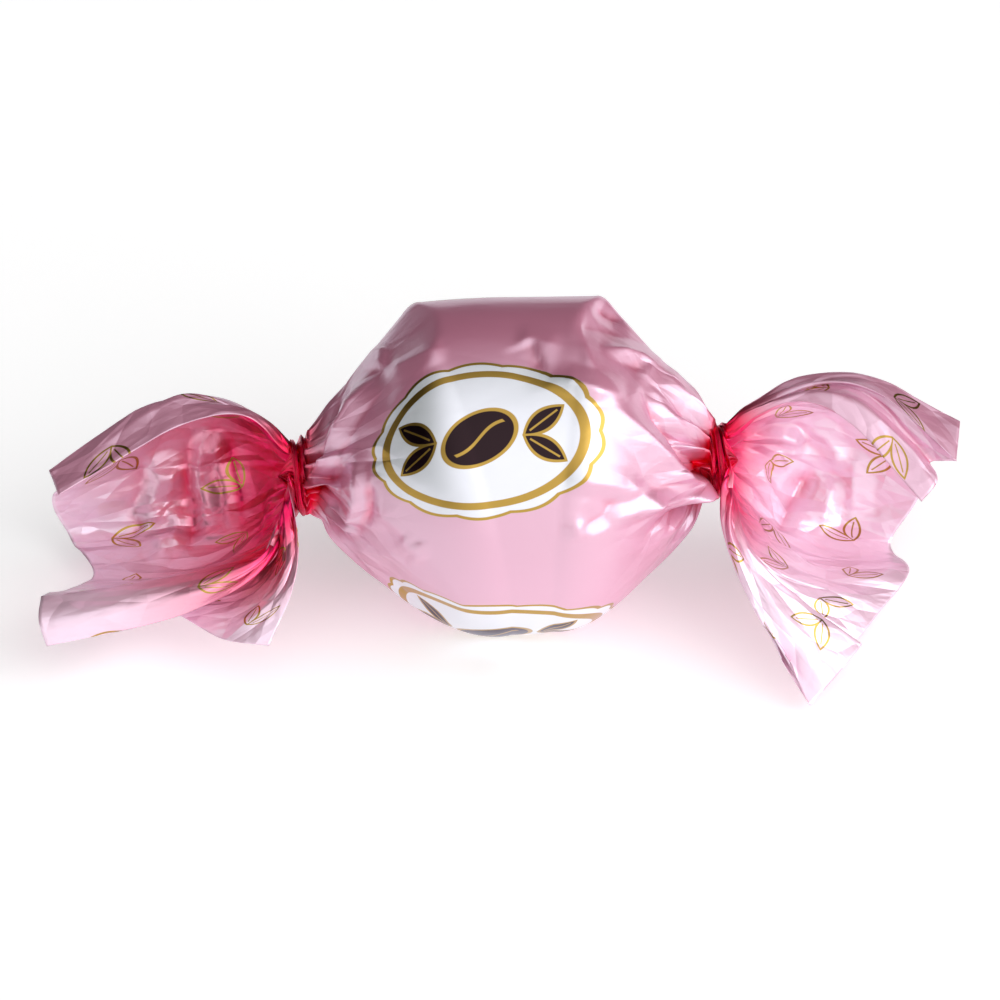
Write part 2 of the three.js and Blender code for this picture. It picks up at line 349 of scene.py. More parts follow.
BALL_FACETS = (
    Facet((-0.64, -0.68, 0.38), 13.9, 0.2),
    Facet((-0.62, 0.66, 0.46), 15.4, 0.2),
    Facet((0.66, 0.62, 0.42), 15.5, 0.2),
    Facet((-0.55, 0.35, -0.76), 14.6),
    Facet((0.62, 0.20, -0.76), 14.7),
    Facet((0.1, -0.35, -0.93), 14.6),
)
BALL_CREASES = (
    # The left shoulder's pleats, from its neck up to the label.
    Crease(((-18.2, 1.6), (-13.3, 9.0)), -0.6, 1.2, 1.8, (0.25, 0.4)),
    Crease(((-18.6, -2.6), (-16.7, 0.4), (-14.6, 5.9), (-14.2, 7.4)), -0.6, 1.4, 1.2, (0.25, 0.3)),
    Crease(((-18.6, -3.4), (-14.6, 3.0), (-11.4, 7.8)), 0.8, 2.6, 1.0, (0.2, 0.25)),
    Crease(((-18.4, -4.1), (-13.6, 0.8)), -0.5, 1.0, 1.6, (0.25, 0.5)),
    Crease(((-13.3, 1.6), (-13.0, -3.0), (-14.6, -6.9)), 0.55, 1.0, 1.8, (0.4, 0.3)),
    Crease(((-12.4, -1.4), (-12.2, -5.4)), -0.3, 1.0, 1.0),
    # The upper left corner and the top.
    Crease(((-10.8, 8.0), (-8.4, 8.9), (-7.2, 9.5), (-5.4, 10.3)), 0.3, 2.2, 1.2),
    Crease(((-10.9, 10.6), (-11.0, 8.3)), 0.3, 0.8, 2.2),
    Crease(((1.8, 10.9), (3.5, 6.7)), -0.25, 0.7, 2.6, (0.1, 0.5)),
    Crease(((0.6, 10.9), (1.7, 10.9), (4.6, 10.2)), 0.2, 1.6, 1.6),
    Crease(((7.9, 14.4), (8.9, 13.5), (10.4, 12.9)), -0.4, 0.8, 1.2),
    Crease(((5.7, 12.4), (10.6, 11.7)), -0.25, 1.4, 2.0),
    # The right shoulder's ridges and valleys.
    Crease(((3.7, 7.8), (4.7, 7.2), (6.1, 6.7), (7.7, 6.2), (10.2, 6.1)), 0.6, 2.0, 1.0, (0.3, 0.4)),
    Crease(((8.2, 10.3), (9.6, 9.8), (11.4, 9.2), (12.0, 8.7), (11.8, 7.0)), 0.6, 1.6, 0.8, (0.3, 0.3)),
    Crease(((12.0, 8.7), (15.6, 5.9), (18.2, 3.4)), 0.7, 1.8, 1.0, (0.3, 0.0)),
    Crease(((11.6, 6.8), (12.9, 5.1), (14.2, 3.4), (16.2, 1.3), (18.2, -1.2)), -0.9, 0.9, 1.2, (0.3, 0.0)),
    Crease(((13.8, 3.6), (16.4, -0.4), (18.3, -1.8)), -0.8, 0.8, 1.0, (0.4, 0.0)),
    Crease(((8.4, 5.8), (12.2, 2.2), (15.9, -1.4), (18.2, -2.2)), 0.6, 1.4, 1.8, (0.4, 0.0)),
    Crease(((18.2, -2.2), (12.7, -3.2), (8.6, -5.0)), 0.8, 1.0, 1.2, (0.0, 0.4)),
    Crease(((18.2, -2.9), (13.6, -5.2), (11.0, -7.4)), -0.7, 0.9, 1.2, (0.0, 0.5)),
    # The star of small creases low on the right.
    Crease(((5.0, -1.1), (8.0, -1.6), (11.2, -2.3)), 0.3, 2.0, 1.4),
    Crease(((10.2, -1.2), (13.1, -4.1)), 0.35, 1.2, 1.6),
    Crease(((9.6, -2.5), (8.4, -4.5), (6.3, -5.7)), -0.35, 1.0, 2.0),
    Crease(((5.9, -4.8), (6.2, -6.6)), 0.2, 1.0, 1.4),
    # The lower left.
    Crease(((-18.0, -5.2), (-15.0, -7.0), (-9.8, -7.5), (-3.6, -12.3)), 0.45, 1.6, 2.4, (0.0, 0.25)),
    Crease(((-13.5, -7.6), (-9.8, -12.5)), 0.3, 1.4, 1.8),
    Crease(((-7.9, -6.6), (-7.5, -8.3)), 0.25, 1.0, 1.0),
    Crease(((-9.2, -6.2), (-8.2, -7.4)), 0.2, 0.9, 0.9),
)


@dataclass
class FilmGrid:
    """A state of the sheet, on a grid of columns along the wrapper and rows round it."""

    hull: np.ndarray
    shape: np.ndarray
    normals: np.ndarray
    flat: np.ndarray


@dataclass
class WrapperShape:
    """The wrapper as a function of how far along the sheet and how far round it a point lies.

    Counts of cells are those of the coarsest grid. Finer grids have two and four times as many. A ramp is a
    pair of places where something starts and where it is full. The pairs of dome sizes are for the left and
    the right end. The `stray` creases are the random ones of the tails: a pair is the range of a random
    size, and the height is a share of the width.
    """

    tail_cells: int = 19
    neck_cells: int = 6
    ball_cells: int = 30
    row_cells: int = 96
    ball_length: float = 43.0
    neck_length: float = 3.6
    tail_length: float = 25.5
    ball_end_x: float = 17.7
    tail_start_x: float = 19.4
    shoulder_x: float = 18.5
    waist_radius: float = 3.5
    strand_count: float = 3.0
    strand_depth: float = 0.3
    strand_turn: float = 0.2
    strand_power: float = 0.6
    neck_flare: float = 1.7
    bend_rounding: float = 0.55
    fold_points: int = 49
    least_gap: float = 0.35
    seam_turn: float = 200.0
    overlap: float = 0.05
    lap_height: float = 0.1
    lap_ramp: tuple[float, float] = (0.94, 0.97)
    base_turn: float = 100.0
    base_spread: float = 1.4
    base_half_length: float = 21.0
    dome_length: tuple[float, float] = (16.8, 17.6)
    base_squareness: float = 5.0
    dome_power: tuple[float, float] = (2.0, 2.2)
    base_blend: float = 0.9
    dome_blend: float = 5.0
    profile_turns: tuple[float, ...] = (-80.0, 10.0, 100.0)
    profile_points: int = 801
    edge_on: float = 0.25
    pleat_count: float = 17.0
    pleat_peak: float = 0.7
    pleat_drift: float = 0.45
    drift_cells: float = 9.0
    waist_pleat_depth: float = 0.35
    shoulder_pleat: float = 0.6
    shoulder_start: tuple[float, float] = (15.0, 9.5)
    shoulder_run: float = 8.0
    front_calm: float = 0.75
    tail_pleat: float = 1.2
    tail_pleat_ramp: tuple[float, float] = (-0.02, 0.1)
    tail_pleat_reach: tuple[float, float] = (0.3, 0.75)
    inside_calm: float = 0.7
    inside_blend: float = 0.4
    ball_crease: float = 1.5
    inside_crease: float = 0.9
    crumple: float = 0.45
    patch_size: float = 9.0
    patch_ramp: tuple[float, float] = (-0.6, 0.5)
    facet_sizes: tuple[float, float] = (6.5, 3.4)
    small_facets: float = 0.35
    facet_turns: tuple[float, float] = (0.35, 1.2)
    facet_stretch: float = 1.6
    tail_facet_ramp: tuple[float, float] = (0.08, 0.3)
    label_facets: float = 0.12
    shoulder_facets: float = 0.4
    shoulder_facet_ramp: tuple[float, float] = (9.0, 16.0)
    stray_count: int = 36
    stray_place: tuple[float, float] = (0.25, 0.95)
    stray_lean: float = 0.5
    stray_half_length: tuple[float, float] = (5.0, 11.0)
    stray_width: tuple[float, float] = (2.0, 5.0)
    stray_height: tuple[float, float] = (0.06, 0.16)
    stray_bow: float = 0.3
    stray_narrowing: tuple[float, float] = (0.3, 1.0)
    stray_ramp: tuple[float, float] = (0.05, 0.25)
    seed: int = 5

    @property
    def ball_end(self) -> float:
        """How far from the label's middle the ball's film ends on the flat sheet."""
        return self.ball_length / 2.0

    @property
    def tail_start(self) -> float:
        """How far from the label's middle the tails start on the flat sheet."""
        return self.ball_end + self.neck_length

    def tail_share(self, u: np.ndarray) -> np.ndarray:
        """How far out in a tail each point lies: 0 at the neck, 1 at the rim, below 0 short of the tail."""
        return (np.abs(u) - self.tail_start) / self.tail_length

    def hull_radius(self, x: np.ndarray, turn: np.ndarray) -> np.ndarray:
        """Radius of the wrapped praline.

        Along x the ball is a superellipse, flatter on the side of its base, and the film leaves it in a cone
        towards each neck.

        Args:
            x: Place along the wrapper.
            turn: Direction round the wrapper, in radians.

        Returns:
            The radius from the wrapper's centre line.
        """
        base = (0.5 + 0.5 * np.cos(turn - math.radians(self.base_turn))) ** self.base_spread
        power = mix(by_end(x, *self.dome_power), self.base_squareness, base)
        length = mix(by_end(x, *self.dome_length), self.base_half_length, base)
        ball = BALL_RADIUS * (1.0 - np.minimum(np.abs(x) / length, 1.0) ** power) ** (1.0 / power)
        base_slope = by_end(x, LEFT_END.base_slope, RIGHT_END.base_slope)
        dome_slope = by_end(x, LEFT_END.dome_slope, RIGHT_END.dome_slope)
        neck = by_end(x, LEFT_END.neck_radius, RIGHT_END.neck_radius)
        cone = neck + (self.shoulder_x - np.abs(x)) * mix(dome_slope, base_slope, base)
        return soft_min(np.maximum(ball, neck), cone, mix(self.dome_blend, self.base_blend, base))

    def centre_rise(self, x: np.ndarray) -> np.ndarray:
        """Height of the wrapper's centre line over the ball's centre."""
        rise = by_end(x, LEFT_END.neck_up, RIGHT_END.neck_up)
        return rise * smoothstep(0.0, self.shoulder_x, np.abs(x))

    def ball_turn(self, around: np.ndarray) -> np.ndarray:
        """Direction on the ball of each row, in radians: once round and a little further, from the seam."""
        return math.radians(self.seam_turn) + 2.0 * math.pi * (1.0 + self.overlap) * around

    def pleat_ridge(self, around: np.ndarray) -> np.ndarray:
        """Height of the gathered film over its valleys, from 0 to 1: uneven, lopsided triangle waves."""
        drift = lattice_noise(around * self.drift_cells, np.full_like(around, 0.5), self.seed)
        return triangle_wave(self.pleat_count * around + self.pleat_drift * drift, self.pleat_peak)

    def pleat_reach(self, around: np.ndarray) -> np.ndarray:
        """How far the pleats run out from the neck at each row, from 0, not far, to 1."""
        cells = around * self.pleat_count * 0.8
        return 0.5 + 0.5 * lattice_noise(cells, np.full_like(around, 3.5), self.seed + 1)

    def facets(self, u: np.ndarray, v: np.ndarray, cell: float, seed: int) -> np.ndarray:
        """Crumpled height field of flat facets with straight creases between them, from about -1 to 1.

        It is the mean of two facet noises, turned against each other and stretched along the wrapper.

        Args:
            u: Place along the flat sheet.
            v: Place across it.
            cell: Width of the facets.
            seed: Seed of their heights.

        Returns:
            The field at each point.
        """
        total = np.zeros(u.shape)
        for number, turn in enumerate(self.facet_turns):
            along, across = u / (self.facet_stretch * cell), v / cell
            a = along * math.cos(turn) + across * math.sin(turn)
            b = across * math.cos(turn) - along * math.sin(turn)
            total += facet_noise(a, b, seed + 10 * number)
        return total / 1.5

    def fold_lines(self, end: WrapperEnd, columns: int) -> np.ndarray:
        """Points of each fold of a tail, evenly spaced from neck to rim.

        A fold is a straight leg, a quadratic curve round the bend and another straight leg.

        Args:
            end: The end whose tail it is.
            columns: Number of points on each fold.

        Returns:
            Array of folds by columns by 3.
        """
        dense = np.linspace(0.0, 1.0, self.fold_points)[:, None]
        lines = []
        for fold in end.folds:
            turn = math.radians(fold.turn)
            lift = self.waist_radius * np.array([0.0, math.sin(turn), math.cos(turn)])
            start = np.array([end.side.value * self.tail_start_x, end.neck_up, 0.0]) + lift
            bend = np.array(fold.bend)
            rim = np.array(fold.rim)
            before = mix(bend, start, self.bend_rounding)
            after = mix(bend, rim, self.bend_rounding)
            corner = mix(mix(before, bend, dense), mix(bend, after, dense), dense)
            path = np.concatenate([mix(start, before, dense), corner[1:], mix(after, rim, dense)[1:]])
            steps = np.linalg.norm(np.diff(path, axis=0), axis=1)
            length = np.concatenate([[0.0], np.cumsum(steps)])
            places = np.linspace(0.0, length[-1], columns)
            lines.append(np.stack([np.interp(places, length, path[:, k]) for k in range(3)], axis=1))
        return np.stack(lines)

    def fold_place(self, end: WrapperEnd, around: np.ndarray) -> np.ndarray:
        """Number of the fold that each row of the sheet lies on, with the share of the way to the next.

        The sheet's width is shared out between the folds by how far apart they are half way along and at the
        rim, with at least a little for the closest.

        Args:
            end: The end whose tail it is.
            around: Place of each row round the sheet, from 0 to 1.

        Returns:
            The fold's number for each row.
        """
        lines = self.fold_lines(end, 3)
        gaps = np.linalg.norm(np.diff(lines[:, 1:], axis=0), axis=2).mean(axis=1)
        gaps = np.maximum(gaps, self.least_gap * gaps.mean())
        marks = np.concatenate([[0.0], np.cumsum(gaps)]) / gaps.sum()
        return np.interp(around, marks, np.arange(len(end.folds)))

    def tail(self, end: WrapperEnd, columns: int, around: np.ndarray) -> np.ndarray:
        """Points of a tail, from its neck to its rim.

        Across the folds the sheet is a cubic from each to the next. Its slope at a soft fold is the mean of
        both sides, and at a crease each side has its own.

        Args:
            end: The end whose tail it is.
            columns: Number of columns from neck to rim.
            around: Place of each row round the sheet, from 0 to 1.

        Returns:
            Array of columns by rows by 3.
        """
        lines = self.fold_lines(end, columns)
        place = self.fold_place(end, around)
        last = len(lines) - 1
        first = np.minimum(np.floor(place).astype(int), last - 1)
        numbers = np.arange(last + 1)
        soft = np.array([fold.soft for fold in end.folds])[:, None, None]
        ahead = lines[np.minimum(numbers + 1, last)] - lines
        behind = lines - lines[np.maximum(numbers - 1, 0)]
        mean = (ahead + behind) / 2.0
        leaving = mix(ahead, mean, soft)
        arriving = mix(behind, mean, soft)
        t = (place - first)[:, None, None]
        points = (
            (2 * t**3 - 3 * t**2 + 1) * lines[first]
            + (t**3 - 2 * t**2 + t) * leaving[first]
            + (3 * t**2 - 2 * t**3) * lines[first + 1]
            + (t**3 - t**2) * arriving[first + 1]
        )
        return points.transpose(1, 0, 2)

    def ring_points(self, x: np.ndarray, radius: np.ndarray, turn: np.ndarray) -> np.ndarray:
        """Points at that radius and direction from the wrapper's centre line."""
        x, radius, turn = np.broadcast_arrays(x, radius, turn)
        return np.stack([x, self.centre_rise(x) + radius * np.sin(turn), radius * np.cos(turn)], axis=-1)

    def towards_viewer(self, normals: np.ndarray) -> np.ndarray:
        """The film's normals, turned to the label's side."""
        return normals * np.clip(normals[..., 2:] / self.edge_on, -1.0, 1.0)

    def grid(self, fineness: int) -> FilmGrid:
        """The sheet before it relaxes.

        Args:
            fineness: How many times as many cells as on the coarsest grid.

        Returns:
            The sheet's smooth hull, its shape with pleats and creases, the hull's normals and the flat
            layout.
        """
        tail, neck, ball = (fineness * n for n in (self.tail_cells, self.neck_cells, self.ball_cells))
        around = np.linspace(0.0, 1.0, fineness * self.row_cells + 1)
        left, right = (
            np.concatenate([self.tail(end, tail + 1, around)[::-1], self.neck_hull(end, neck, around)])
            for end in (LEFT_END, RIGHT_END)
        )
        hull = np.concatenate([left, self.ball_hull(ball + 1, around), right[::-1]])
        normals = unit(np.cross(np.gradient(hull, axis=0), np.gradient(hull, axis=1)))
        flat = self.flat_layout(tail, neck, ball, around)
        shape = self.creased(hull, normals, flat, around)
        return FilmGrid(hull, shape, normals, flat)

    def ball_hull(self, columns: int, around: np.ndarray) -> np.ndarray:
        """Smooth film on the ball and its shoulders, at even steps along their mean profile."""
        dense_x = np.linspace(-self.ball_end_x, self.ball_end_x, self.profile_points)
        profile = self.hull_radius(dense_x[:, None], np.radians([self.profile_turns])).mean(axis=1)
        length = np.concatenate([[0.0], np.cumsum(np.hypot(np.diff(dense_x), np.diff(profile)))])
        x = np.interp(np.linspace(0.0, length[-1], columns), length, dense_x)[:, None]
        turn = self.ball_turn(around)[None, :]
        points = self.ring_points(x, self.hull_radius(x, turn), turn)
        for facet in BALL_FACETS:
            points = facet.flatten(points)
        lap = self.lap_height * smoothstep(*self.lap_ramp, around)
        return points + lap[:, None] * unit(points * np.array([0.0, 1.0, 1.0]))

    def neck_hull(self, end: WrapperEnd, columns: int, around: np.ndarray) -> np.ndarray:
        """Smooth film of a neck, from beside the tail to beside the ball, turning from one to the other."""
        side = end.side.value
        inward = (np.arange(1, columns) / columns)[:, None]
        turns = np.radians([fold.turn for fold in end.folds])
        start = np.interp(self.fold_place(end, around), np.arange(len(turns)), turns)[None, :]
        whole = 2.0 * math.pi if end.side is Side.LEFT else 0.0
        turn = mix(start, self.ball_turn(around)[None, :] - whole, smoothstep(0.0, 1.0, inward))
        x = side * mix(self.tail_start_x, self.ball_end_x, inward)
        edge = self.hull_radius(np.full_like(x, side * self.ball_end_x), turn)
        return self.ring_points(x, mix(self.waist_radius, edge, inward**self.neck_flare), turn)

    def flat_layout(self, tail: int, neck: int, ball: int, around: np.ndarray) -> np.ndarray:
        """Place of each point on the flat sheet, in millimetres from the middle of the label."""
        marks = np.cumsum([0, tail, neck, ball, neck, tail])
        ends = np.array([self.tail_start + self.tail_length, self.tail_start, self.ball_end])
        places = np.concatenate([-ends, ends[::-1]])
        width = 2.0 * math.pi * BALL_RADIUS * (1.0 + self.overlap)
        label = (360.0 - self.seam_turn) / 360.0 / (1.0 + self.overlap)
        along = np.interp(np.arange(marks[-1] + 1), marks, places)
        return np.stack(np.meshgrid(along, (around - label) * width, indexing="ij"), axis=-1)

    def creased(
        self, hull: np.ndarray, normals: np.ndarray, flat: np.ndarray, around: np.ndarray
    ) -> np.ndarray:
        """Lay pleats, crumpled facets and creases on the smooth film.

        Args:
            hull: The smooth film.
            normals: Its normals, outwards.
            flat: Its flat layout.
            around: Place of each row round the sheet.

        Returns:
            The creased film.
        """
        u = flat[..., 0]
        rise = sum(self.pleats(hull, u, around) + self.crumpling(flat))
        shape = self.gathered(hull + rise[..., None] * normals, hull, u, around)

        # Creases that show in front.
        facing = smoothstep(-1.0, 1.5, hull[..., 2]) * (np.abs(u) < self.ball_end + 0.01)
        layers = [(self.ball_crease, BALL_CREASES, facing)]
        for end in (LEFT_END, RIGHT_END):
            layers.append((self.inside_crease, end.creases, self.inside_rows(end, u, around)))
        toward = self.towards_viewer(normals)
        for height, creases, mask in layers:
            lift = sum(crease.lift(hull[..., 0], hull[..., 1]) for crease in creases)
            shape = shape + (height * lift * mask)[..., None] * toward
        return shape

    def on_ball(self, reach: np.ndarray) -> np.ndarray:
        """Mask of the ball's film, which falls off towards its ends."""
        fall = 1.0 - 0.9 * smoothstep(self.ball_end - 3.0, self.ball_end, reach)
        return (reach < self.ball_end + 0.01) * fall

    def pleats(self, hull: np.ndarray, u: np.ndarray, around: np.ndarray) -> list[np.ndarray]:
        """Heights of the pleats that run out from the necks, over the smooth film.

        On the shoulders they start at the ball's rim, each at its own place, and deepen towards the neck. In
        the tails they run out to half way, each as far as it likes.

        Args:
            hull: The smooth film.
            u: Place along the flat sheet.
            around: Place of each row round the sheet.

        Returns:
            The heights on the shoulders and in the tails.
        """
        reach, out = np.abs(u), self.tail_share(u)
        ridge = self.pleat_ridge(around)[None, :]
        far = self.pleat_reach(around)[None, :]
        start = mix(*self.shoulder_start, far)
        on_shoulder = smoothstep(0.0, 1.0, (reach - start) / self.shoulder_run) * self.on_ball(reach)
        front = smoothstep(0.0, 4.0, hull[..., 2])
        front = front * (1.0 - smoothstep(self.ball_end - 6.5, self.ball_end - 0.5, reach))
        shoulder = self.shoulder_pleat * (1.0 - self.front_calm * front) * on_shoulder * (ridge - 0.35)
        share = out / mix(*self.tail_pleat_reach, far)
        on_tail = smoothstep(*self.tail_pleat_ramp, out) * (1.0 - smoothstep(0.0, 1.0, share))
        walls = sum(self.inside_rows(end, u, around) for end in (LEFT_END, RIGHT_END))
        tail = self.tail_pleat * on_tail * (1.0 - self.inside_calm * walls) * (ridge - 0.5)
        return [shoulder, tail * (reach > self.tail_start)]

    def crumpling(self, flat: np.ndarray) -> list[np.ndarray]:
        """Heights of the crumpled film: large facets in patches, small ones and creases at random places.

        The facets cover the tails and the shoulders, and faintly the rest of the ball.
        """
        u, v = flat[..., 0], flat[..., 1]
        reach, out = np.abs(u), self.tail_share(u)
        patches = lattice_noise(u / self.patch_size, v / self.patch_size, self.seed + 2)
        on_shoulder = self.shoulder_facets * smoothstep(*self.shoulder_facet_ramp, reach)
        spread = smoothstep(*self.tail_facet_ramp, out)
        spread = spread + (self.label_facets + on_shoulder) * self.on_ball(reach)
        large, small = (
            self.facets(u, v, size, self.seed + 3 + k) for k, size in enumerate(self.facet_sizes)
        )
        return [
            self.crumple * smoothstep(*self.patch_ramp, patches) * spread * large,
            self.small_facets * self.crumple * spread * small,
            self.stray_creases(u, v, out),
        ]

    def gathered(
        self, shape: np.ndarray, hull: np.ndarray, u: np.ndarray, around: np.ndarray
    ) -> np.ndarray:
        """Draw the film in: in deep pleats beside the necks, and twisted into a few strands in them.

        Args:
            shape: The film with its pleats and facets.
            hull: The smooth film.
            u: Place along the flat sheet.
            around: Place of each row round the sheet.

        Returns:
            The gathered film.
        """
        out = self.tail_share(u)
        waist = (np.abs(u) - self.ball_end) / self.neck_length
        middle = np.stack([hull[..., 0], self.centre_rise(hull[..., 0]), np.zeros(u.shape)], axis=-1)
        beside = smoothstep(-1.8, 0.0, waist) * (1.0 - smoothstep(0.0, 0.25, waist))
        beside = beside + smoothstep(0.75, 1.0, waist) * (1.0 - smoothstep(0.01, 0.12, out))
        twisted = smoothstep(0.0, 0.3, waist) * (1.0 - smoothstep(0.7, 1.0, waist))
        strand = np.abs(np.sin(math.pi * (self.strand_count * around + self.strand_turn)))[None, :]
        strand = strand**self.strand_power
        valley = 1.0 - self.pleat_ridge(around)[None, :]
        depth = self.waist_pleat_depth * beside * valley + self.strand_depth * twisted * (1.0 - strand)
        return mix(shape, middle, depth[..., None])

    def inside_rows(self, end: WrapperEnd, u: np.ndarray, around: np.ndarray) -> np.ndarray:
        """Mask, from 0 to 1, of the part of a tail whose inside shows in front."""
        place = self.fold_place(end, around)
        low, high = end.inside
        after = smoothstep(low, low + self.inside_blend, place)
        rows = after * (1.0 - smoothstep(high - self.inside_blend, high, place))
        return rows[None, :] * (u * end.side.value > self.tail_start)

    def stray_creases(self, u: np.ndarray, v: np.ndarray, out: np.ndarray) -> np.ndarray:
        """Creases of the tails at random places, most of them running out from the neck.

        Args:
            u: Place along the flat sheet.
            v: Place across it.
            out: Share of the way from the neck to the rim.

        Returns:
            The height of the creases at each point.
        """
        random = np.random.default_rng(self.seed + 6)
        total = np.zeros(u.shape)
        for number in range(self.stray_count):
            side = -1.0 if number % 2 else 1.0
            cu = side * (self.tail_start + self.tail_length * random.uniform(*self.stray_place))
            cv = random.uniform(v.min(), v.max())
            angle = random.normal(0.0, self.stray_lean)
            length = random.uniform(*self.stray_half_length)
            du, dv = length * math.cos(angle), length * math.sin(angle)
            width = random.uniform(*self.stray_width)
            height = random.choice([-1.0, 1.0]) * random.uniform(*self.stray_height) * width
            bow = random.normal(0.0, self.stray_bow)
            path = ((cu - du, cv - dv), (cu, cv + bow), (cu + du, cv + dv))
            right = width * random.uniform(*self.stray_narrowing)
            total += Crease(path, height, width, right, (0.5, 0.5)).lift(u, v)
        return total * smoothstep(*self.stray_ramp, out)


def restore(start: np.ndarray, end: np.ndarray, rest: np.ndarray, stiffness: float) -> None:
    """Bring stretches of film back towards their lengths, by moving both ends alike.

    Args:
        start: Points at one end, which are moved.
        end: Points at the other end, which are moved.
        rest: Length of each stretch at rest.
        stiffness: Share of the way back.
    """
    gap = end - start
    size = np.sqrt(np.einsum("ijk,ijk->ij", gap, gap)) + np.float32(TINY)
    fix = gap * (np.float32(0.5 * stiffness) * (1.0 - rest / size))[..., None]
    start += fix
    end -= fix


@dataclass
class FilmRelaxer:
    """Lets the creased sheet settle as film does.

    Each pass moves every point: bending forces straighten the sheet, with a limit that lets sharp creases
    stay; its edges and diagonals then go back to their lengths; a weak pull holds it to its shape; and it
    stays outside the praline and above the table. A ramp is the stretch of the flat sheet, out from the
    label's middle, over which something sets in.
    """

    momentum: float = 0.85
    stretch: float = 0.85
    shear: float = 0.25
    bend: float = 0.03
    crease_curvature: float = 0.06
    ball_pull: float = 1.0
    neck_pull: float = 0.3
    neck_ramp: tuple[float, float] = (19.0, 21.5)
    neck_end_ramp: tuple[float, float] = (25.0, 28.0)
    tail_pull: float = 0.12
    tail_ramp: tuple[float, float] = (25.0, 29.0)
    praline_end_ramp: tuple[float, float] = (19.0, 21.0)
    praline_depth: float = 1.6
    table_gap: float = 0.05
    tail_excess: float = 0.02
    excess_ramp: tuple[float, float] = (27.0, 30.0)
    excess_patch: float = 5.0
    seed: int = 11

    def excess(self, film: FilmGrid) -> np.ndarray:
        """How much more film there is than the shape has room for, as patchy shares."""
        u, v = film.flat[..., 0], film.flat[..., 1]
        patches = 0.5 + 0.8 * lattice_noise(u / self.excess_patch + 9.0, v / self.excess_patch, self.seed)
        return np.maximum(self.tail_excess * smoothstep(*self.excess_ramp, np.abs(u)) * patches, 0.0)

    def relax(self, film: FilmGrid, offset: np.ndarray, passes: int) -> np.ndarray:
        """Relax the sheet.

        Args:
            film: The sheet at this fineness.
            offset: How far each point starts from the sheet's shape.
            passes: Number of passes.

        Returns:
            How far each point ends from the sheet's shape.
        """
        real = np.float32
        shape = film.shape.astype(real)
        points = (film.shape + offset).astype(real)
        more = 1.0 + self.excess(film)
        lengths = {
            0: (np.linalg.norm(np.diff(shape, axis=0), axis=2) * more[1:]).astype(real),
            1: (np.linalg.norm(np.diff(shape, axis=1), axis=2) * more[:, 1:]).astype(real),
        }
        down = (np.linalg.norm(shape[1:, 1:] - shape[:-1, :-1], axis=2) * more[1:, 1:]).astype(real)
        rise = (np.linalg.norm(shape[1:, :-1] - shape[:-1, 1:], axis=2) * more[1:, 1:]).astype(real)
        reach = np.abs(film.flat[..., 0])
        neck = smoothstep(*self.neck_ramp, reach) * (1.0 - smoothstep(*self.neck_end_ramp, reach))
        pull = mix(self.ball_pull, self.tail_pull, smoothstep(*self.tail_ramp, reach))
        pull = np.maximum(pull, self.neck_pull * neck)[..., None].astype(real)
        outside = (1.0 - smoothstep(*self.praline_end_ramp, reach)).astype(real)
        hull = (film.hull - self.praline_depth * film.normals).astype(real)
        normals = film.normals.astype(real)
        spacing = {0: lengths[0].mean(), 1: lengths[1].mean()}
        table_up = real(UP[2])
        table_forward = real(FORWARD[2])
        before = points.copy()
        for _ in range(passes):
            moved = points - before
            before = points.copy()
            points += self.momentum * moved
            for axis in (0, 1):
                self.straighten(points, axis, self.crease_curvature * spacing[axis] ** 2)
            for axis in (0, 1):
                for phase in (0, 1):
                    self.hold_edges(points, lengths[axis], axis, phase)
            self.hold_diagonals(points, down, rise)
            points += pull * (shape - points)
            depth = np.einsum("ijk,ijk->ij", points - hull, normals)
            points -= (np.minimum(depth, 0.0) * outside)[..., None] * normals
            height = points[..., 1] * table_up + points[..., 2] * table_forward + real(REST_HEIGHT)
            under = np.minimum(height - real(self.table_gap), 0.0)
            points[..., 1] -= under * table_up
            points[..., 2] -= under * table_forward
        return points - shape

    def straighten(self, points: np.ndarray, axis: int, crease: float) -> None:
        """Move each point and its two neighbours towards a straight line, by a step that a crease limits."""
        view = points if axis == 0 else points.transpose(1, 0, 2)
        bent = view[2:] - 2.0 * view[1:-1] + view[:-2]
        size = np.sqrt(np.einsum("ijk,ijk->ij", bent, bent))
        step = bent * (np.float32(self.bend) / (1.0 + size / np.float32(crease)))[..., None]
        view[:-2] -= step
        view[1:-1] += 2.0 * step
        view[2:] -= step

    def hold_edges(self, points: np.ndarray, lengths: np.ndarray, axis: int, phase: int) -> None:
        """Bring every second edge along an axis back to its length."""
        view = points if axis == 0 else points.transpose(1, 0, 2)
        rest = (lengths if axis == 0 else lengths.T)[phase::2]
        last = phase + 2 * len(rest)
        restore(view[phase:last:2], view[phase + 1 : last + 1 : 2], rest, self.stretch)

    def hold_diagonals(self, points: np.ndarray, down: np.ndarray, rise: np.ndarray) -> None:
        """Bring the diagonals of the grid's cells partly back to their lengths."""
        restore(points[:-1, :-1], points[1:, 1:], down, self.shear)
        restore(points[:-1, 1:], points[1:, :-1], rise, self.shear)


def finer(offset: np.ndarray) -> np.ndarray:
    """Twice as fine a grid of offsets: each new one is the mean of its neighbours."""
    columns, rows = offset.shape[:2]
    wide = np.zeros((2 * columns - 1, rows, 3))
    wide[::2] = offset
    wide[1::2] = (offset[1:] + offset[:-1]) / 2.0
    fine = np.zeros((2 * columns - 1, 2 * rows - 1, 3))
    fine[:, ::2] = wide
    fine[:, 1::2] = (wide[:, 1:] + wide[:, :-1]) / 2.0
    return fine


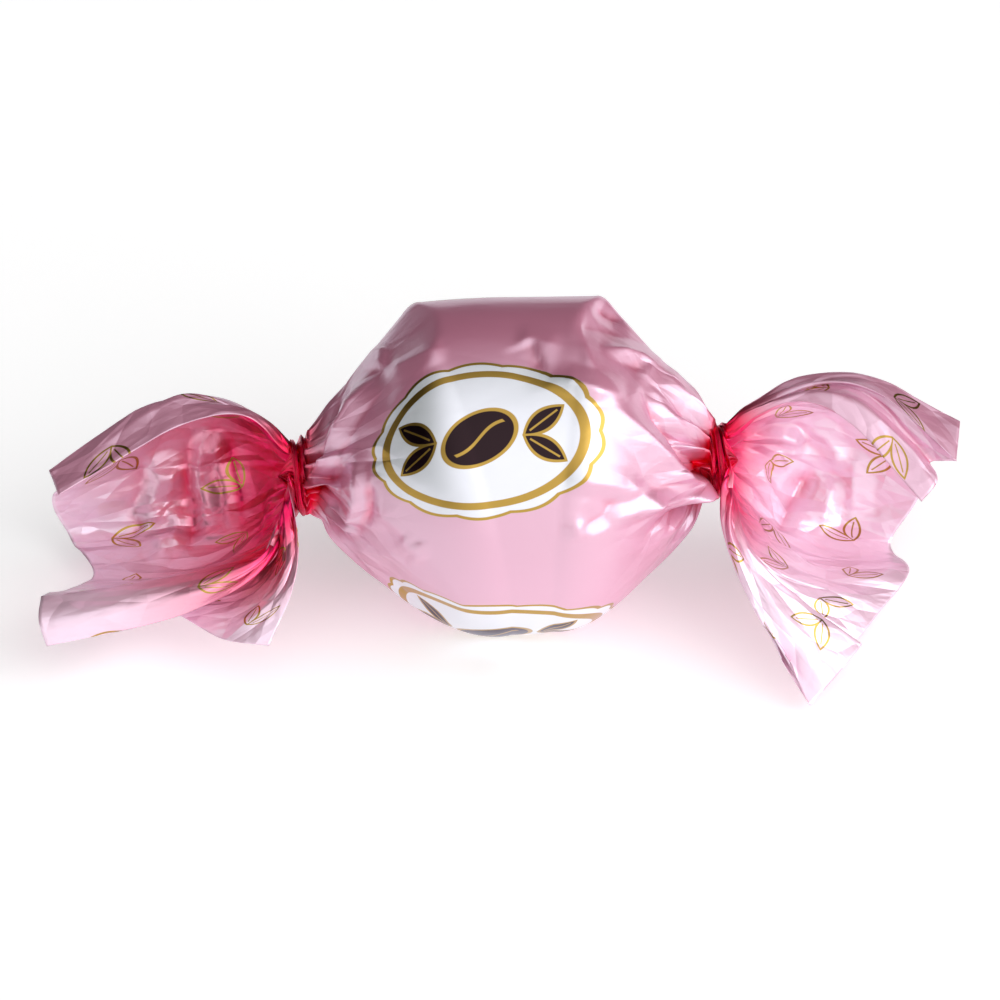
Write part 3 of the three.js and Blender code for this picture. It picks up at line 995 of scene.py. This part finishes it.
@dataclass
class Wrapper:
    """The whole wrapper: one sheet relaxed in steps from coarse to fine, and the gathered film in its necks.

    The sheet is made into three meshes, which meet `split_cells` from the tails. The film in the necks
    starts `core_cells` from the tails. `passes` holds a number for each fineness.
    """

    shape: WrapperShape = field(default_factory=WrapperShape)
    relaxer: FilmRelaxer = field(default_factory=FilmRelaxer)
    passes: tuple[int, int, int] = (40, 30, 20)
    quick_passes: tuple[int, int, int] = (10, 6, 3)
    thickness: float = 0.06
    fineness: int = 4
    relief_reach: int = 4
    split_cells: int = 2
    core_cells: int = 4
    core_rings: int = 13
    core_length: float = 2.2
    core_twist: float = 0.9
    core_pleat: float = 0.4
    core_closure: float = 0.98

    def relaxed(self, quick: bool) -> tuple[FilmGrid, np.ndarray]:
        """Relax the sheet at three finenesses, one after the other.

        Args:
            quick: Leave out most of the passes.

        Returns:
            The finest sheet and the places of its points.
        """
        offset = None
        for step, count in enumerate(self.quick_passes if quick else self.passes):
            film = self.shape.grid(2**step)
            offset = np.zeros_like(film.shape) if offset is None else finer(offset)
            offset = self.relaxer.relax(film, offset, count)
            LOG.info("film relaxed at %d x %d", *film.shape.shape[:2])
        return film, film.shape + offset

    def relief(self, points: np.ndarray, reach: int) -> np.ndarray:
        """How far each point stands out of the mean of the film round it, in millimetres.

        Args:
            points: Places of the film's points.
            reach: Number of neighbours on each side that the mean takes in.

        Returns:
            The height at each point, below 0 in a valley.
        """
        mean = points
        for axis in (0, 1):
            pad = [(reach + 1, reach) if k == axis else (0, 0) for k in range(3)]
            total = np.cumsum(np.pad(mean, pad, mode="edge"), axis=axis)
            size = 2 * reach + 1
            ahead = np.take(total, range(size, total.shape[axis]), axis=axis)
            mean = (ahead - np.take(total, range(total.shape[axis] - size), axis=axis)) / size
        normals = unit(np.cross(np.gradient(mean, axis=0), np.gradient(mean, axis=1)))
        return np.einsum("ijk,ijk->ij", points - mean, normals)

    def build(self, quick: bool) -> list[bpy.types.Object]:
        """Make the pieces of the wrapper.

        Args:
            quick: Leave out most of the relaxation.

        Returns:
            The left tail's film, the ball's, the right tail's, and the gathered film in the two necks.
        """
        film, points = self.relaxed(quick)
        # The relief feeds the materials' painted shade in the valleys.
        relief = self.relief(points, self.relief_reach)
        last = len(points) - 1
        split = self.fineness * (self.shape.tail_cells + self.split_cells)
        pieces = []
        for name, first, end in (
            ("film_tail_left", 0, split),
            ("film_ball", split, last - split),
            ("film_tail_right", last - split, last),
        ):
            span = slice(first, end + 1)
            pieces.append(self.piece(name, points[span], film.flat[span], relief[span]))
        return pieces + [self.neck_core(side, points, film.flat) for side in Side]

    def neck_core(self, side: Side, points: np.ndarray, flat: np.ndarray) -> bpy.types.Object:
        """Make the film that is gathered shut inside a neck, as it shows from the tail.

        Its outermost ring is the neck's own. Each next ring is drawn in towards the neck's middle, turned a
        little further, pleated deeper and moved out towards the tail.

        Args:
            side: The end that it is at.
            points: Places of the sheet's points.
            flat: Their places on the flat sheet, in millimetres.

        Returns:
            The new object, linked to the scene.
        """
        column = self.fineness * (self.shape.tail_cells + self.core_cells)
        if side is Side.RIGHT:
            column = len(points) - 1 - column
        rim = points[column]
        middle = rim.mean(axis=0)
        inward = np.linspace(0.0, self.core_closure, self.core_rings)[:, None]
        ridge = self.shape.pleat_ridge(np.linspace(0.0, 1.0, len(rim)))
        reach = (1.0 - inward) * (1.0 - self.core_pleat * smoothstep(0.0, 0.3, inward) * (1.0 - ridge))
        turn = self.core_twist * inward
        up, forward = rim[:, 1] - middle[1], rim[:, 2] - middle[2]
        along = rim[:, 0] + side.value * self.core_length * inward
        rings = np.stack(
            [
                along,
                middle[1] + reach * (up * np.cos(turn) + forward * np.sin(turn)),
                middle[2] + reach * (forward * np.cos(turn) - up * np.sin(turn)),
            ],
            axis=-1,
        )
        layout = np.repeat(flat[None, column], self.core_rings, axis=0)
        layout[..., 0] += side.value * self.core_length * inward
        order = slice(None, None, side.value)
        name = f"neck_gather_{side.name.lower()}"
        return self.piece(name, rings[order], layout[order], np.zeros(along.shape))

    def piece(self, name: str, points: np.ndarray, flat: np.ndarray, relief: np.ndarray) -> bpy.types.Object:
        """Make one mesh of a stretch of the sheet.

        Args:
            name: Name of the piece.
            points: Its points, columns by rows by 3.
            flat: Their places on the flat sheet, in millimetres.
            relief: How far they stand out of the film round them.

        Returns:
            The new object, linked to the scene.
        """
        columns, rows = points.shape[:2]
        number = np.arange(columns * rows).reshape(columns, rows)
        corners = (number[:-1, :-1], number[1:, :-1], number[1:, 1:], number[:-1, 1:])
        faces = np.stack([corner.ravel() for corner in corners], axis=1)
        mesh = bpy.data.meshes.new(name)
        mesh.from_pydata(to_part_frame(points.reshape(-1, 3)), [], faces.tolist())
        layout = mesh.uv_layers.new(name=SHEET_MAP)
        places = flat.reshape(-1, 2)[faces.ravel()] / SHEET_MAP_SIZE + SHEET_MAP_MIDDLE
        layout.data.foreach_set("uv", places.ravel())
        heights = mesh.attributes.new(RELIEF, "FLOAT", "POINT")
        heights.data.foreach_set("value", relief.ravel().astype(np.float32))
        mesh.polygons.foreach_set("use_smooth", np.ones(len(faces), dtype=bool))
        mesh.update()
        piece = bpy.data.objects.new(name, mesh)
        bpy.context.scene.collection.objects.link(piece)
        if "tail" in name:
            wall = piece.modifiers.new("film", "SOLIDIFY")
            wall.thickness = self.thickness * MM
            wall.offset = -1.0
            wall.material_offset = 1
            wall.material_offset_rim = 0
        return piece


class FilmFace(Enum):
    """The two faces of the film. The value is which way the relief counts on it."""

    OUTER = 1.0
    INNER = -1.0


class Field:
    """A number that shader nodes work out over a surface. It takes part in sums as a plain number does."""

    def __init__(self, tree: bpy.types.NodeTree, socket: bpy.types.NodeSocket) -> None:
        """Hold an output socket of a node tree."""
        self.tree = tree
        self.socket = socket

    def maths(self, operation: str, *others: Field | float) -> Field:
        """Number that a Math node makes of this one and the others."""
        node = self.tree.nodes.new("ShaderNodeMath")
        node.operation = operation
        for socket, value in zip(node.inputs, (self, *others)):
            if isinstance(value, Field):
                self.tree.links.new(value.socket, socket)
            else:
                socket.default_value = value
        return Field(self.tree, node.outputs["Value"])

    def __add__(self, other: Field | float) -> Field:
        """Sum."""
        return self.maths("ADD", other)

    def __sub__(self, other: Field | float) -> Field:
        """Difference."""
        return self.maths("SUBTRACT", other)

    def __rsub__(self, other: float) -> Field:
        """Difference of a plain number and this one."""
        return self.maths("MULTIPLY_ADD", -1.0, other)

    def __mul__(self, other: Field | float) -> Field:
        """Product."""
        return self.maths("MULTIPLY", other)

    def __truediv__(self, other: Field | float) -> Field:
        """Quotient."""
        return self.maths("DIVIDE", other)

    def __abs__(self) -> Field:
        """Size without its sign."""
        return self.maths("ABSOLUTE")

    def inside(self, softness: float = 0.05) -> Field:
        """1 where this distance is below 0 and 0 where it is above, with a narrow ramp between."""
        ramp = self.maths("MULTIPLY_ADD", -1.0 / softness, 0.5)
        ramp.socket.node.use_clamp = True
        return ramp


def turned(x: Field, y: Field, turn: Field | float) -> tuple[Field, Field]:
    """Place (x, y) as seen from axes that are turned by an angle."""
    if isinstance(turn, Field):
        cosine, sine = turn.maths("COSINE"), turn.maths("SINE")
    else:
        cosine, sine = math.cos(turn), math.sin(turn)
    return x * cosine + y * sine, y * cosine - x * sine


def sheet_place(tree: bpy.types.NodeTree) -> bpy.types.NodeSocket:
    """Output socket with the place on the flat sheet, as the UV map holds it."""
    place = tree.nodes.new("ShaderNodeUVMap")
    place.uv_map = SHEET_MAP
    return place.outputs["UV"]


def set_inputs(node: bpy.types.Node, values: dict[str, float | tuple[float, ...]]) -> None:
    """Set a node's own input values by the names of its sockets."""
    for socket, value in values.items():
        node.inputs[socket].default_value = value


def new_group(
    name: str, inputs: tuple[str, ...], outputs: tuple[str, ...]
) -> tuple[dict[str, Field], bpy.types.Node]:
    """Make a node group of plain numbers.

    Args:
        name: Name of the group.
        inputs: Names of its inputs.
        outputs: Names of its outputs.

    Returns:
        Its inputs by name, with the place on the flat sheet in millimetres as "u" and "v", and its output
        node.
    """
    group = bpy.data.node_groups.new(name, "ShaderNodeTree")
    for way, sockets in (("INPUT", inputs), ("OUTPUT", outputs)):
        for socket in sockets:
            group.interface.new_socket(socket, in_out=way, socket_type="NodeSocketFloat")
    inlet = group.nodes.new("NodeGroupInput")
    split = group.nodes.new("ShaderNodeSeparateXYZ")
    group.links.new(sheet_place(group), split.inputs["Vector"])
    fields = {socket: Field(group, inlet.outputs[socket]) for socket in inputs}
    for letter, axis in (("u", "X"), ("v", "Y")):
        fields[letter] = (Field(group, split.outputs[axis]) - SHEET_MAP_MIDDLE) * SHEET_MAP_SIZE
    return fields, group.nodes.new("NodeGroupOutput")


@dataclass(frozen=True)
class FilmPrint:
    """The film's print on the flat sheet: a row of medallions round the ball, and gold sprigs on the tails.

    Each shape is a distance in millimetres, below 0 inside what is printed. `line` and `band` are half the
    width of the gold lines and of the gold band. The bean's seam is a sine wave, given by its radians per
    millimetre and its height. The turn of a tail's sprig is `sprig_turn`'s last number, and its first for
    each column and its second for each row on top.
    """

    medallion_x: float = -2.6
    medallion_turn: float = math.radians(3.0)
    medallion_rows: tuple[float, ...] = (-21.2, 2.4, 28.8, 51.0)
    medallion_half: tuple[float, float] = (10.8, 7.2)
    scallops: float = 7.0
    scallop_depth: float = 0.04
    line: float = 0.14
    band: float = 0.32
    band_share: float = 0.82
    bean_half: tuple[float, float] = (3.3, 2.2)
    bean_turn: float = 0.45
    seam_wave: tuple[float, float] = (0.9, 0.45)
    seam_inset: float = 0.5
    sprig_x: float = 3.7
    sprig_start: float = 34.5
    sprig_gap: tuple[float, float] = (10.4, 11.78)
    sprig_turn: tuple[float, float, float] = (2.2, 1.3, 0.5)
    sprig_spread: float = 0.62
    bare_reach: float = 29.0
    leaf_half_length: float = 2.1
    leaf_half_width: float = 0.9
    rib_width_share: float = 0.6
    rib_length_share: float = 0.7

    def sprig(self, x: Field, y: Field) -> tuple[Field, Field]:
        """Draw two leaves that grow from one point.

        Args:
            x: Place along the sprig from that point.
            y: Place across it.

        Returns:
            Distances to the leaves and to their outlines and midribs.
        """
        half = self.leaf_half_length
        leaves, ribs = [], []
        for turn in (self.sprig_spread, -self.sprig_spread):
            along, across = turned(x, y, turn)
            share = along / half - 1.0
            leaves.append(abs(across) + share * share * self.leaf_half_width - self.leaf_half_width)
            end = (abs(share) - self.rib_length_share) * half
            ribs.append((abs(across) - self.rib_width_share * self.line).maths("MAXIMUM", end))
        leaf = leaves[0].maths("MINIMUM", leaves[1])
        lines = (abs(leaf) - self.line).maths("MINIMUM", ribs[0]).maths("MINIMUM", ribs[1])
        return leaf, lines

    def medallions(self, u: Field, v: Field) -> tuple[Field, Field, Field]:
        """White, gold and dark parts of the medallions.

        A medallion is an oval whose edge bows out in scallops, with a gold edge and a gold band inside it.
        In its middle is a dark cocoa bean with a gold seam, and at each side of the bean is a dark sprig.

        Args:
            u: Place along the sheet.
            v: Place across it.

        Returns:
            Distances to the white ground, to the gold and to what is dark.
        """
        once_round = 2.0 * math.pi * BALL_RADIUS
        half_x, half_y = self.medallion_half
        start = (self.medallion_rows[0] + self.medallion_rows[-1] - once_round) / 2.0
        x, along = turned(u - self.medallion_x, v, self.medallion_turn)
        place = along.maths("WRAP", start + once_round, start)
        y = place - self.medallion_rows[0]
        for lower, upper in zip(self.medallion_rows[:-1], self.medallion_rows[1:]):
            y = y - place.maths("GREATER_THAN", (lower + upper) / 2.0) * (upper - lower)
        across, up = x / half_x, y / half_y
        radius = (across * across + up * up).maths("SQRT")
        scallop = abs((up.maths("ARCTAN2", across) * self.scallops).maths("SINE"))
        ground = (radius / (scallop * self.scallop_depth + (1.0 - self.scallop_depth)) - 1.0) * half_y
        gold = abs(ground + self.line) - self.line
        gold = gold.maths("MINIMUM", abs((radius - self.band_share) * half_y) - self.band)
        bean_x, bean_y = turned(x, y, self.bean_turn)
        long, wide = bean_x / self.bean_half[0], bean_y / self.bean_half[1]
        bean = ((long * long + wide * wide).maths("SQRT") - 1.0) * self.bean_half[1]
        gold = gold.maths("MINIMUM", abs(bean) - self.line)
        rate, height = self.seam_wave
        seam = abs(bean_y - (bean_x * rate).maths("SINE") * height) - self.line
        gold = gold.maths("MINIMUM", seam.maths("MAXIMUM", bean + self.seam_inset))
        leaf, lines = self.sprig(abs(x) - self.sprig_x, y)
        return ground, gold.maths("MINIMUM", lines), bean.maths("MINIMUM", leaf)

    def tail_sprigs(self, u: Field, v: Field) -> Field:
        """Distance to the tails' sprigs, which stand in staggered columns, each turned its own way."""
        gap_u, gap_v = self.sprig_gap
        by_column, by_row, first = self.sprig_turn
        away = abs(u) - self.sprig_start
        column = (away / gap_u + 0.5).maths("FLOOR")
        across = v + column * (gap_v / 2.0)
        row = (across / gap_v + 0.5).maths("FLOOR")
        turn = column * by_column + row * by_row + first
        x, y = turned(away - column * gap_u, across - row * gap_v, turn)
        return self.sprig(x + self.leaf_half_length, y)[1].maths("MAXIMUM", self.bare_reach - abs(u))

    def group(self) -> bpy.types.NodeTree:
        """Node group of the print, with the shares of white, gold and dark at each point."""
        name = "film_print"
        if name not in bpy.data.node_groups:
            fields, outlet = new_group(name, (), ("White", "Gold", "Dark"))
            u, v = fields["u"], fields["v"]
            ground, gold, bean = self.medallions(u, v)
            gold = gold.maths("MINIMUM", self.tail_sprigs(u, v))
            for socket, distance in zip(("White", "Gold", "Dark"), (ground, gold, bean)):
                u.tree.links.new(distance.inside().socket, outlet.inputs[socket])
        return bpy.data.node_groups[name]


@dataclass(frozen=True)
class LayeringAndPaintedShade:
    """How deep the colour is, with painted shade: 1 in a neck and in sharp valleys, 0 on open film.

    Near a neck the deep colour is partly the film's own, where it lies in many layers, and partly painted
    shade and painted inter-reflection of the gathered film. It adds up two ramps. One falls off with the
    distance from the neck's middle on the flat sheet: over `shoulder_reach` on the ball's side, and over
    each tail as far as the material says. The other, painted shade in the creases, rises with how far the
    point lies below the film round it. A third ramp, for painted light, tells where the film hangs free, far
    out in the tails, where the material makes it lighter.
    """

    neck_middle: float = 23.3
    shoulder_reach: float = 4.0
    gather_shade_gain: float = 1.35
    gather_shade_power: float = 1.3
    valley_shade_gain: float = 1.1
    valley_shade_start: float = 0.05
    shade_lustre_gain: float = 1.2
    painted_light_start: float = 5.0
    painted_light_run: float = 9.0

    def group(self) -> bpy.types.NodeTree:
        """Node group with the depth of colour and painted shade, the share of tinted lustre that it gives,
        and the painted light of the free film.
        """
        name = "colour_depth"
        if name in bpy.data.node_groups:
            return bpy.data.node_groups[name]
        outputs = ("Depth", "Tinted lustre", "Open film")
        fields, outlet = new_group(name, ("Face", "Left reach", "Right reach"), outputs)
        u = fields["u"]
        attribute = u.tree.nodes.new("ShaderNodeAttribute")
        attribute.attribute_name = RELIEF
        relief = Field(u.tree, attribute.outputs["Fac"])
        left = u.maths("LESS_THAN", 0.0)
        reach = fields["Left reach"] * left + fields["Right reach"] * (1.0 - left)
        away = abs(u) - self.neck_middle
        distance = (away / reach).maths("MAXIMUM", away / -self.shoulder_reach)
        # Deep colour near the necks: partly the layered film's own, partly painted shade and painted
        # inter-reflection.
        gather = (1.0 - distance).maths("MAXIMUM", 0.0) * self.gather_shade_gain
        # Painted shade in the creases, deeper the further the film lies below the film round it.
        valley = (relief * fields["Face"] * -self.valley_shade_gain - self.valley_shade_start).maths("MAXIMUM", 0.0)
        depth = (gather.maths("POWER", self.gather_shade_power) + valley).maths("MINIMUM", 1.0)
        # The metallic share rises with the deep colour, so the painted shade also tints the reflection.
        lustre = (depth * self.shade_lustre_gain).maths("MINIMUM", 1.0)
        # Painted light: the free film far out in the tails, which the material makes lighter.
        free_film_painted_light = ((away - self.painted_light_start) / self.painted_light_run).maths("MAXIMUM", 0.0).maths("MINIMUM", 1.0)
        for socket, value in zip(outputs, (depth, lustre, free_film_painted_light)):
            u.tree.links.new(value.socket, outlet.inputs[socket])
        return u.tree


@dataclass(frozen=True)
class FineCrumple:
    """The fine crumpling of the film: small roofs of straight creases.

    The height is the distance to the nearest edge between the cells of a random pattern, at a coarse and at
    a fine scale. It is faint on the label and full from the shoulders outwards.
    """

    scales: tuple[float, float] = (12.0, 36.0)
    turn: float = 0.25
    squeeze: float = 1.7
    label_reach: float = 6.0
    ramp: float = 11.0
    on_label: float = 0.12

    def group(self) -> bpy.types.NodeTree:
        """Node group with the height of the creases, in metres."""
        name = "fine_crumple"
        if name in bpy.data.node_groups:
            return bpy.data.node_groups[name]
        inputs = ("Coarse height", "Fine height")
        fields, outlet = new_group(name, inputs, ("Height",))
        u = fields["u"]
        tree = u.tree
        stretch = tree.nodes.new("ShaderNodeMapping")
        set_inputs(stretch, {"Rotation": (0.0, 0.0, self.turn), "Scale": (1.0, self.squeeze, 1.0)})
        tree.links.new(sheet_place(tree), stretch.inputs["Vector"])
        roofs = []
        for socket, scale in zip(inputs, self.scales):
            cells = tree.nodes.new("ShaderNodeTexVoronoi")
            cells.voronoi_dimensions = "2D"
            cells.feature = "DISTANCE_TO_EDGE"
            cells.inputs["Scale"].default_value = scale
            tree.links.new(stretch.outputs["Vector"], cells.inputs["Vector"])
            roofs.append(Field(tree, cells.outputs["Distance"]) * fields[socket])
        amount = ((abs(u) - self.label_reach) / self.ramp).maths("MAXIMUM", self.on_label)
        height = (roofs[0] + roofs[1]) * amount.maths("MINIMUM", 1.0)
        tree.links.new(height.socket, outlet.inputs["Height"])
        return tree


@dataclass(frozen=True)
class PearlFilm:
    """Pink film with a pearl lustre and its print, with painted shade and painted light.

    Where the film is gathered its colour is deeper, partly its own where it lies in layers and partly
    painted shade and painted inter-reflection; in its creases it is deeper as painted shade. Where it hangs
    free far out in the tails it is painted lighter, as painted light. The pair of reaches is how far out
    over the left and the right tail the deep colour and its painted shade run, in millimetres.
    `crumple` is the height of the coarse and of the fine creases, in metres.
    """

    name: str
    face: FilmFace
    pearl: tuple[float, float, float]
    free_film_painted_light: tuple[float, float, float]
    deep: tuple[float, float, float]
    gather_shade_reach: tuple[float, float]
    pearl_ior: float
    roughness: float
    coat_weight: float = 0.35
    coat_roughness: float = 0.14
    coat_ior: float = 1.5
    lustre: tuple[float, float, float] = (0.90, 0.86, 1.0)
    crumple: tuple[float, float] = (0.0007, 0.00008)
    white: tuple[float, float, float] = (0.78, 0.82, 0.84)
    gold: tuple[float, float, float] = (0.50, 0.31, 0.06)
    dark: tuple[float, float, float] = (0.020, 0.006, 0.010)

    def material(self) -> bpy.types.Material:
        """Make the material."""
        material = bpy.data.materials.new(self.name)
        material.use_nodes = True
        tree = material.node_tree
        shader = tree.nodes["Principled BSDF"]
        set_inputs(
            shader,
            {
                "IOR": self.pearl_ior,
                "Specular Tint": (*self.lustre, 1.0),
                "Roughness": self.roughness,
                "Coat Weight": self.coat_weight,
                "Coat Roughness": self.coat_roughness,
                "Coat IOR": self.coat_ior,
            },
        )
        left, right = self.gather_shade_reach
        reach = {"Face": self.face.value, "Left reach": left, "Right reach": right}
        depth = self.placed(tree, LayeringAndPaintedShade().group(), reach)
        printed = self.placed(tree, FilmPrint().group(), {})
        colour: tuple[float, float, float] | bpy.types.NodeSocket = self.pearl
        # The free film's lighter colour is painted light; the deep colour is partly the layered film's own
        # and partly painted shade.
        for share, layer in (
            (depth.outputs["Open film"], self.free_film_painted_light),
            (depth.outputs["Depth"], self.deep),
            (printed.outputs["White"], self.white),
            (printed.outputs["Dark"], self.dark),
            (printed.outputs["Gold"], self.gold),
        ):
            colour = self.over(tree, colour, layer, share)
        tree.links.new(colour, shader.inputs["Base Color"])
        white, dark, gold = (Field(tree, printed.outputs[name]) for name in ("White", "Dark", "Gold"))
        # Where the colour is deep the film turns metallic, so its reflection carries the painted shade's
        # crimson.
        lustre = Field(tree, depth.outputs["Tinted lustre"]) * (1.0 - white)
        lustre = lustre.maths("MAXIMUM", dark).maths("MAXIMUM", gold)
        tree.links.new(lustre.socket, shader.inputs["Metallic"])
        coarse, fine = self.crumple
        heights = {"Coarse height": coarse, "Fine height": fine}
        crumple = self.placed(tree, FineCrumple().group(), heights)
        bump = tree.nodes.new("ShaderNodeBump")
        bump.inputs["Distance"].default_value = 1.0
        tree.links.new(crumple.outputs["Height"], bump.inputs["Height"])
        tree.links.new(bump.outputs["Normal"], shader.inputs["Normal"])
        return material

    def placed(
        self, tree: bpy.types.NodeTree, group: bpy.types.NodeTree, values: dict[str, float]
    ) -> bpy.types.Node:
        """Place a node group among the material's nodes, with the material's own values."""
        node = tree.nodes.new("ShaderNodeGroup")
        node.node_tree = group
        set_inputs(node, values)
        return node

    def over(
        self,
        tree: bpy.types.NodeTree,
        under: tuple[float, float, float] | bpy.types.NodeSocket,
        layer: tuple[float, float, float],
        share: bpy.types.NodeSocket,
    ) -> bpy.types.NodeSocket:
        """Lay a colour over another by a share.

        Args:
            tree: The material's nodes.
            under: The colour below.
            layer: The colour on top.
            share: How much of the top colour shows.

        Returns:
            The colour of both.
        """
        node = tree.nodes.new("ShaderNodeMix")
        node.data_type = "RGBA"
        sockets = {socket.name: socket for socket in node.inputs if socket.enabled}
        if isinstance(under, bpy.types.NodeSocket):
            tree.links.new(under, sockets["A"])
        else:
            sockets["A"].default_value = (*under, 1.0)
        sockets["B"].default_value = (*layer, 1.0)
        tree.links.new(share, sockets["Factor"])
        return next(socket for socket in node.outputs if socket.enabled)


@dataclass
class Studio:
    """The plain floor, the soft light, the camera and the room's light.

    The width of the camera's frame, its distance and what it aims at beside the ball's middle are in
    millimetres. The floor and the softbox are in metres and watts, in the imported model's frame.
    """

    frame_width: float = 88.76
    distance: float = 490.0
    sensor: float = 36.0
    aim: tuple[float, float] = (-0.71, -3.02)
    nearest: float = 0.01
    floor_size: float = 4.0
    floor_grey: float = 0.92
    floor_roughness: float = 0.9
    floor_glow: float = 0.35
    softbox_place: tuple[float, float, float] = (0.82, -0.42, 0.38)
    softbox_size: float = 1.1
    softbox_power: float = 6.0
    bright_side: tuple[float, float, float] = (0.50, -0.70, 0.51)
    bright_ramp: tuple[float, float] = (-0.1, 0.9)
    dim: float = 0.03
    bright: float = 1.17

    def floor(self) -> None:
        """Make the pale floor."""
        bpy.ops.mesh.primitive_plane_add(size=self.floor_size, location=(0.0, 0.0, 0.0))
        floor = bpy.context.object
        floor.name = "floor"
        material = bpy.data.materials.new("pale_floor")
        material.use_nodes = True
        finish = {
            "Base Color": (self.floor_grey, self.floor_grey, self.floor_grey, 1.0),
            "Roughness": self.floor_roughness,
            "Emission Color": (1.0, 1.0, 1.0, 1.0),
            "Emission Strength": self.floor_glow,
        }
        set_inputs(material.node_tree.nodes["Principled BSDF"], finish)
        floor.data.materials.append(material)

    def softbox(self) -> None:
        """Make the square soft light, which faces the praline from the front right."""
        data = bpy.data.lights.new("softbox", "AREA")
        data.size = self.softbox_size
        data.energy = self.softbox_power
        lamp = bpy.data.objects.new("softbox", data)
        lamp.location = self.softbox_place
        lamp.rotation_euler = look_along(BALL_CENTRE * MM - np.array(self.softbox_place))
        bpy.context.scene.collection.objects.link(lamp)

    def camera(self) -> None:
        """Make the camera, which looks straight at the label through a long lens."""
        data = bpy.data.cameras.new("camera")
        data.sensor_width = self.sensor
        data.lens = self.sensor * self.distance / self.frame_width
        data.clip_start = self.nearest
        camera = bpy.data.objects.new("camera", data)
        camera.location = to_part_frame(np.array([self.aim[0], self.aim[1], self.distance]))
        camera.rotation_euler = look_along(-FORWARD)
        bpy.context.scene.collection.objects.link(camera)
        bpy.context.scene.camera = camera

    def world(self) -> None:
        """Make the room's light: dim behind the praline, and brighter towards its front and right."""
        world = bpy.data.worlds.new("room")
        bpy.context.scene.world = world
        world.use_nodes = True
        nodes, links = world.node_tree.nodes, world.node_tree.links
        direction = nodes.new("ShaderNodeTexCoord")
        facing = nodes.new("ShaderNodeVectorMath")
        facing.operation = "DOT_PRODUCT"
        facing.inputs[1].default_value = unit(np.array(self.bright_side))
        links.new(direction.outputs["Generated"], facing.inputs[0])
        ramp = nodes.new("ShaderNodeMapRange")
        ramp.interpolation_type = "SMOOTHSTEP"
        low, high = self.bright_ramp
        set_inputs(ramp, {"From Min": low, "From Max": high, "To Min": self.dim, "To Max": self.bright})
        links.new(facing.outputs["Value"], ramp.inputs["Value"])
        nodes["Background"].inputs["Color"].default_value = (1.0, 1.0, 1.0, 1.0)
        links.new(ramp.outputs["Result"], nodes["Background"].inputs["Strength"])

    def build(self) -> None:
        """Make the whole studio."""
        self.floor()
        self.softbox()
        self.camera()
        self.world()
        bpy.context.scene.view_settings.view_transform = "Standard"


def look_along(direction: np.ndarray) -> tuple[float, float, float]:
    """Euler angles of a camera or lamp that looks along a direction, with its top upwards."""
    x, y, z = direction / np.linalg.norm(direction)
    return (math.acos(-z), 0.0, math.atan2(-x, y))


def main() -> None:
    """Build the praline and its studio."""
    logging.basicConfig(level=logging.INFO, format="%(name)s: %(message)s")
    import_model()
    Studio().build()
    outer = PearlFilm(
        name="pearl_film",
        face=FilmFace.OUTER,
        pearl=(0.68, 0.22, 0.34),
        # Painted light: the lighter colour of the free film far out in the tails.
        free_film_painted_light=(0.76, 0.30, 0.43),
        # Crimson of the gathered film, partly its own and partly painted shade and painted inter-reflection.
        deep=(0.90, 0.01, 0.08),
        gather_shade_reach=(9.0, 9.0),
        pearl_ior=4.5,
        roughness=0.34,
    )
    inner = PearlFilm(
        name="film_inside",
        face=FilmFace.INNER,
        pearl=(0.95, 0.52, 0.68),
        # Painted light of the free film on the inside.
        free_film_painted_light=(0.98, 0.64, 0.78),
        # Crimson inside the necks and bowls, partly the film's own and partly painted shade.
        deep=(0.88, 0.01, 0.12),
        # The painted shade runs far into the left tail's bowl.
        gather_shade_reach=(24.0, 13.0),
        pearl_ior=4.2,
        roughness=0.30,
    )
    faces = (outer.material(), inner.material())
    for piece in Wrapper().build(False):
        for material in faces:
            piece.data.materials.append(material)
        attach(piece, "root")
        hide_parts("wrapped_praline")
        LOG.info("%s: %d faces", piece.name, len(piece.data.polygons))


if __name__ == "__main__":
    main()
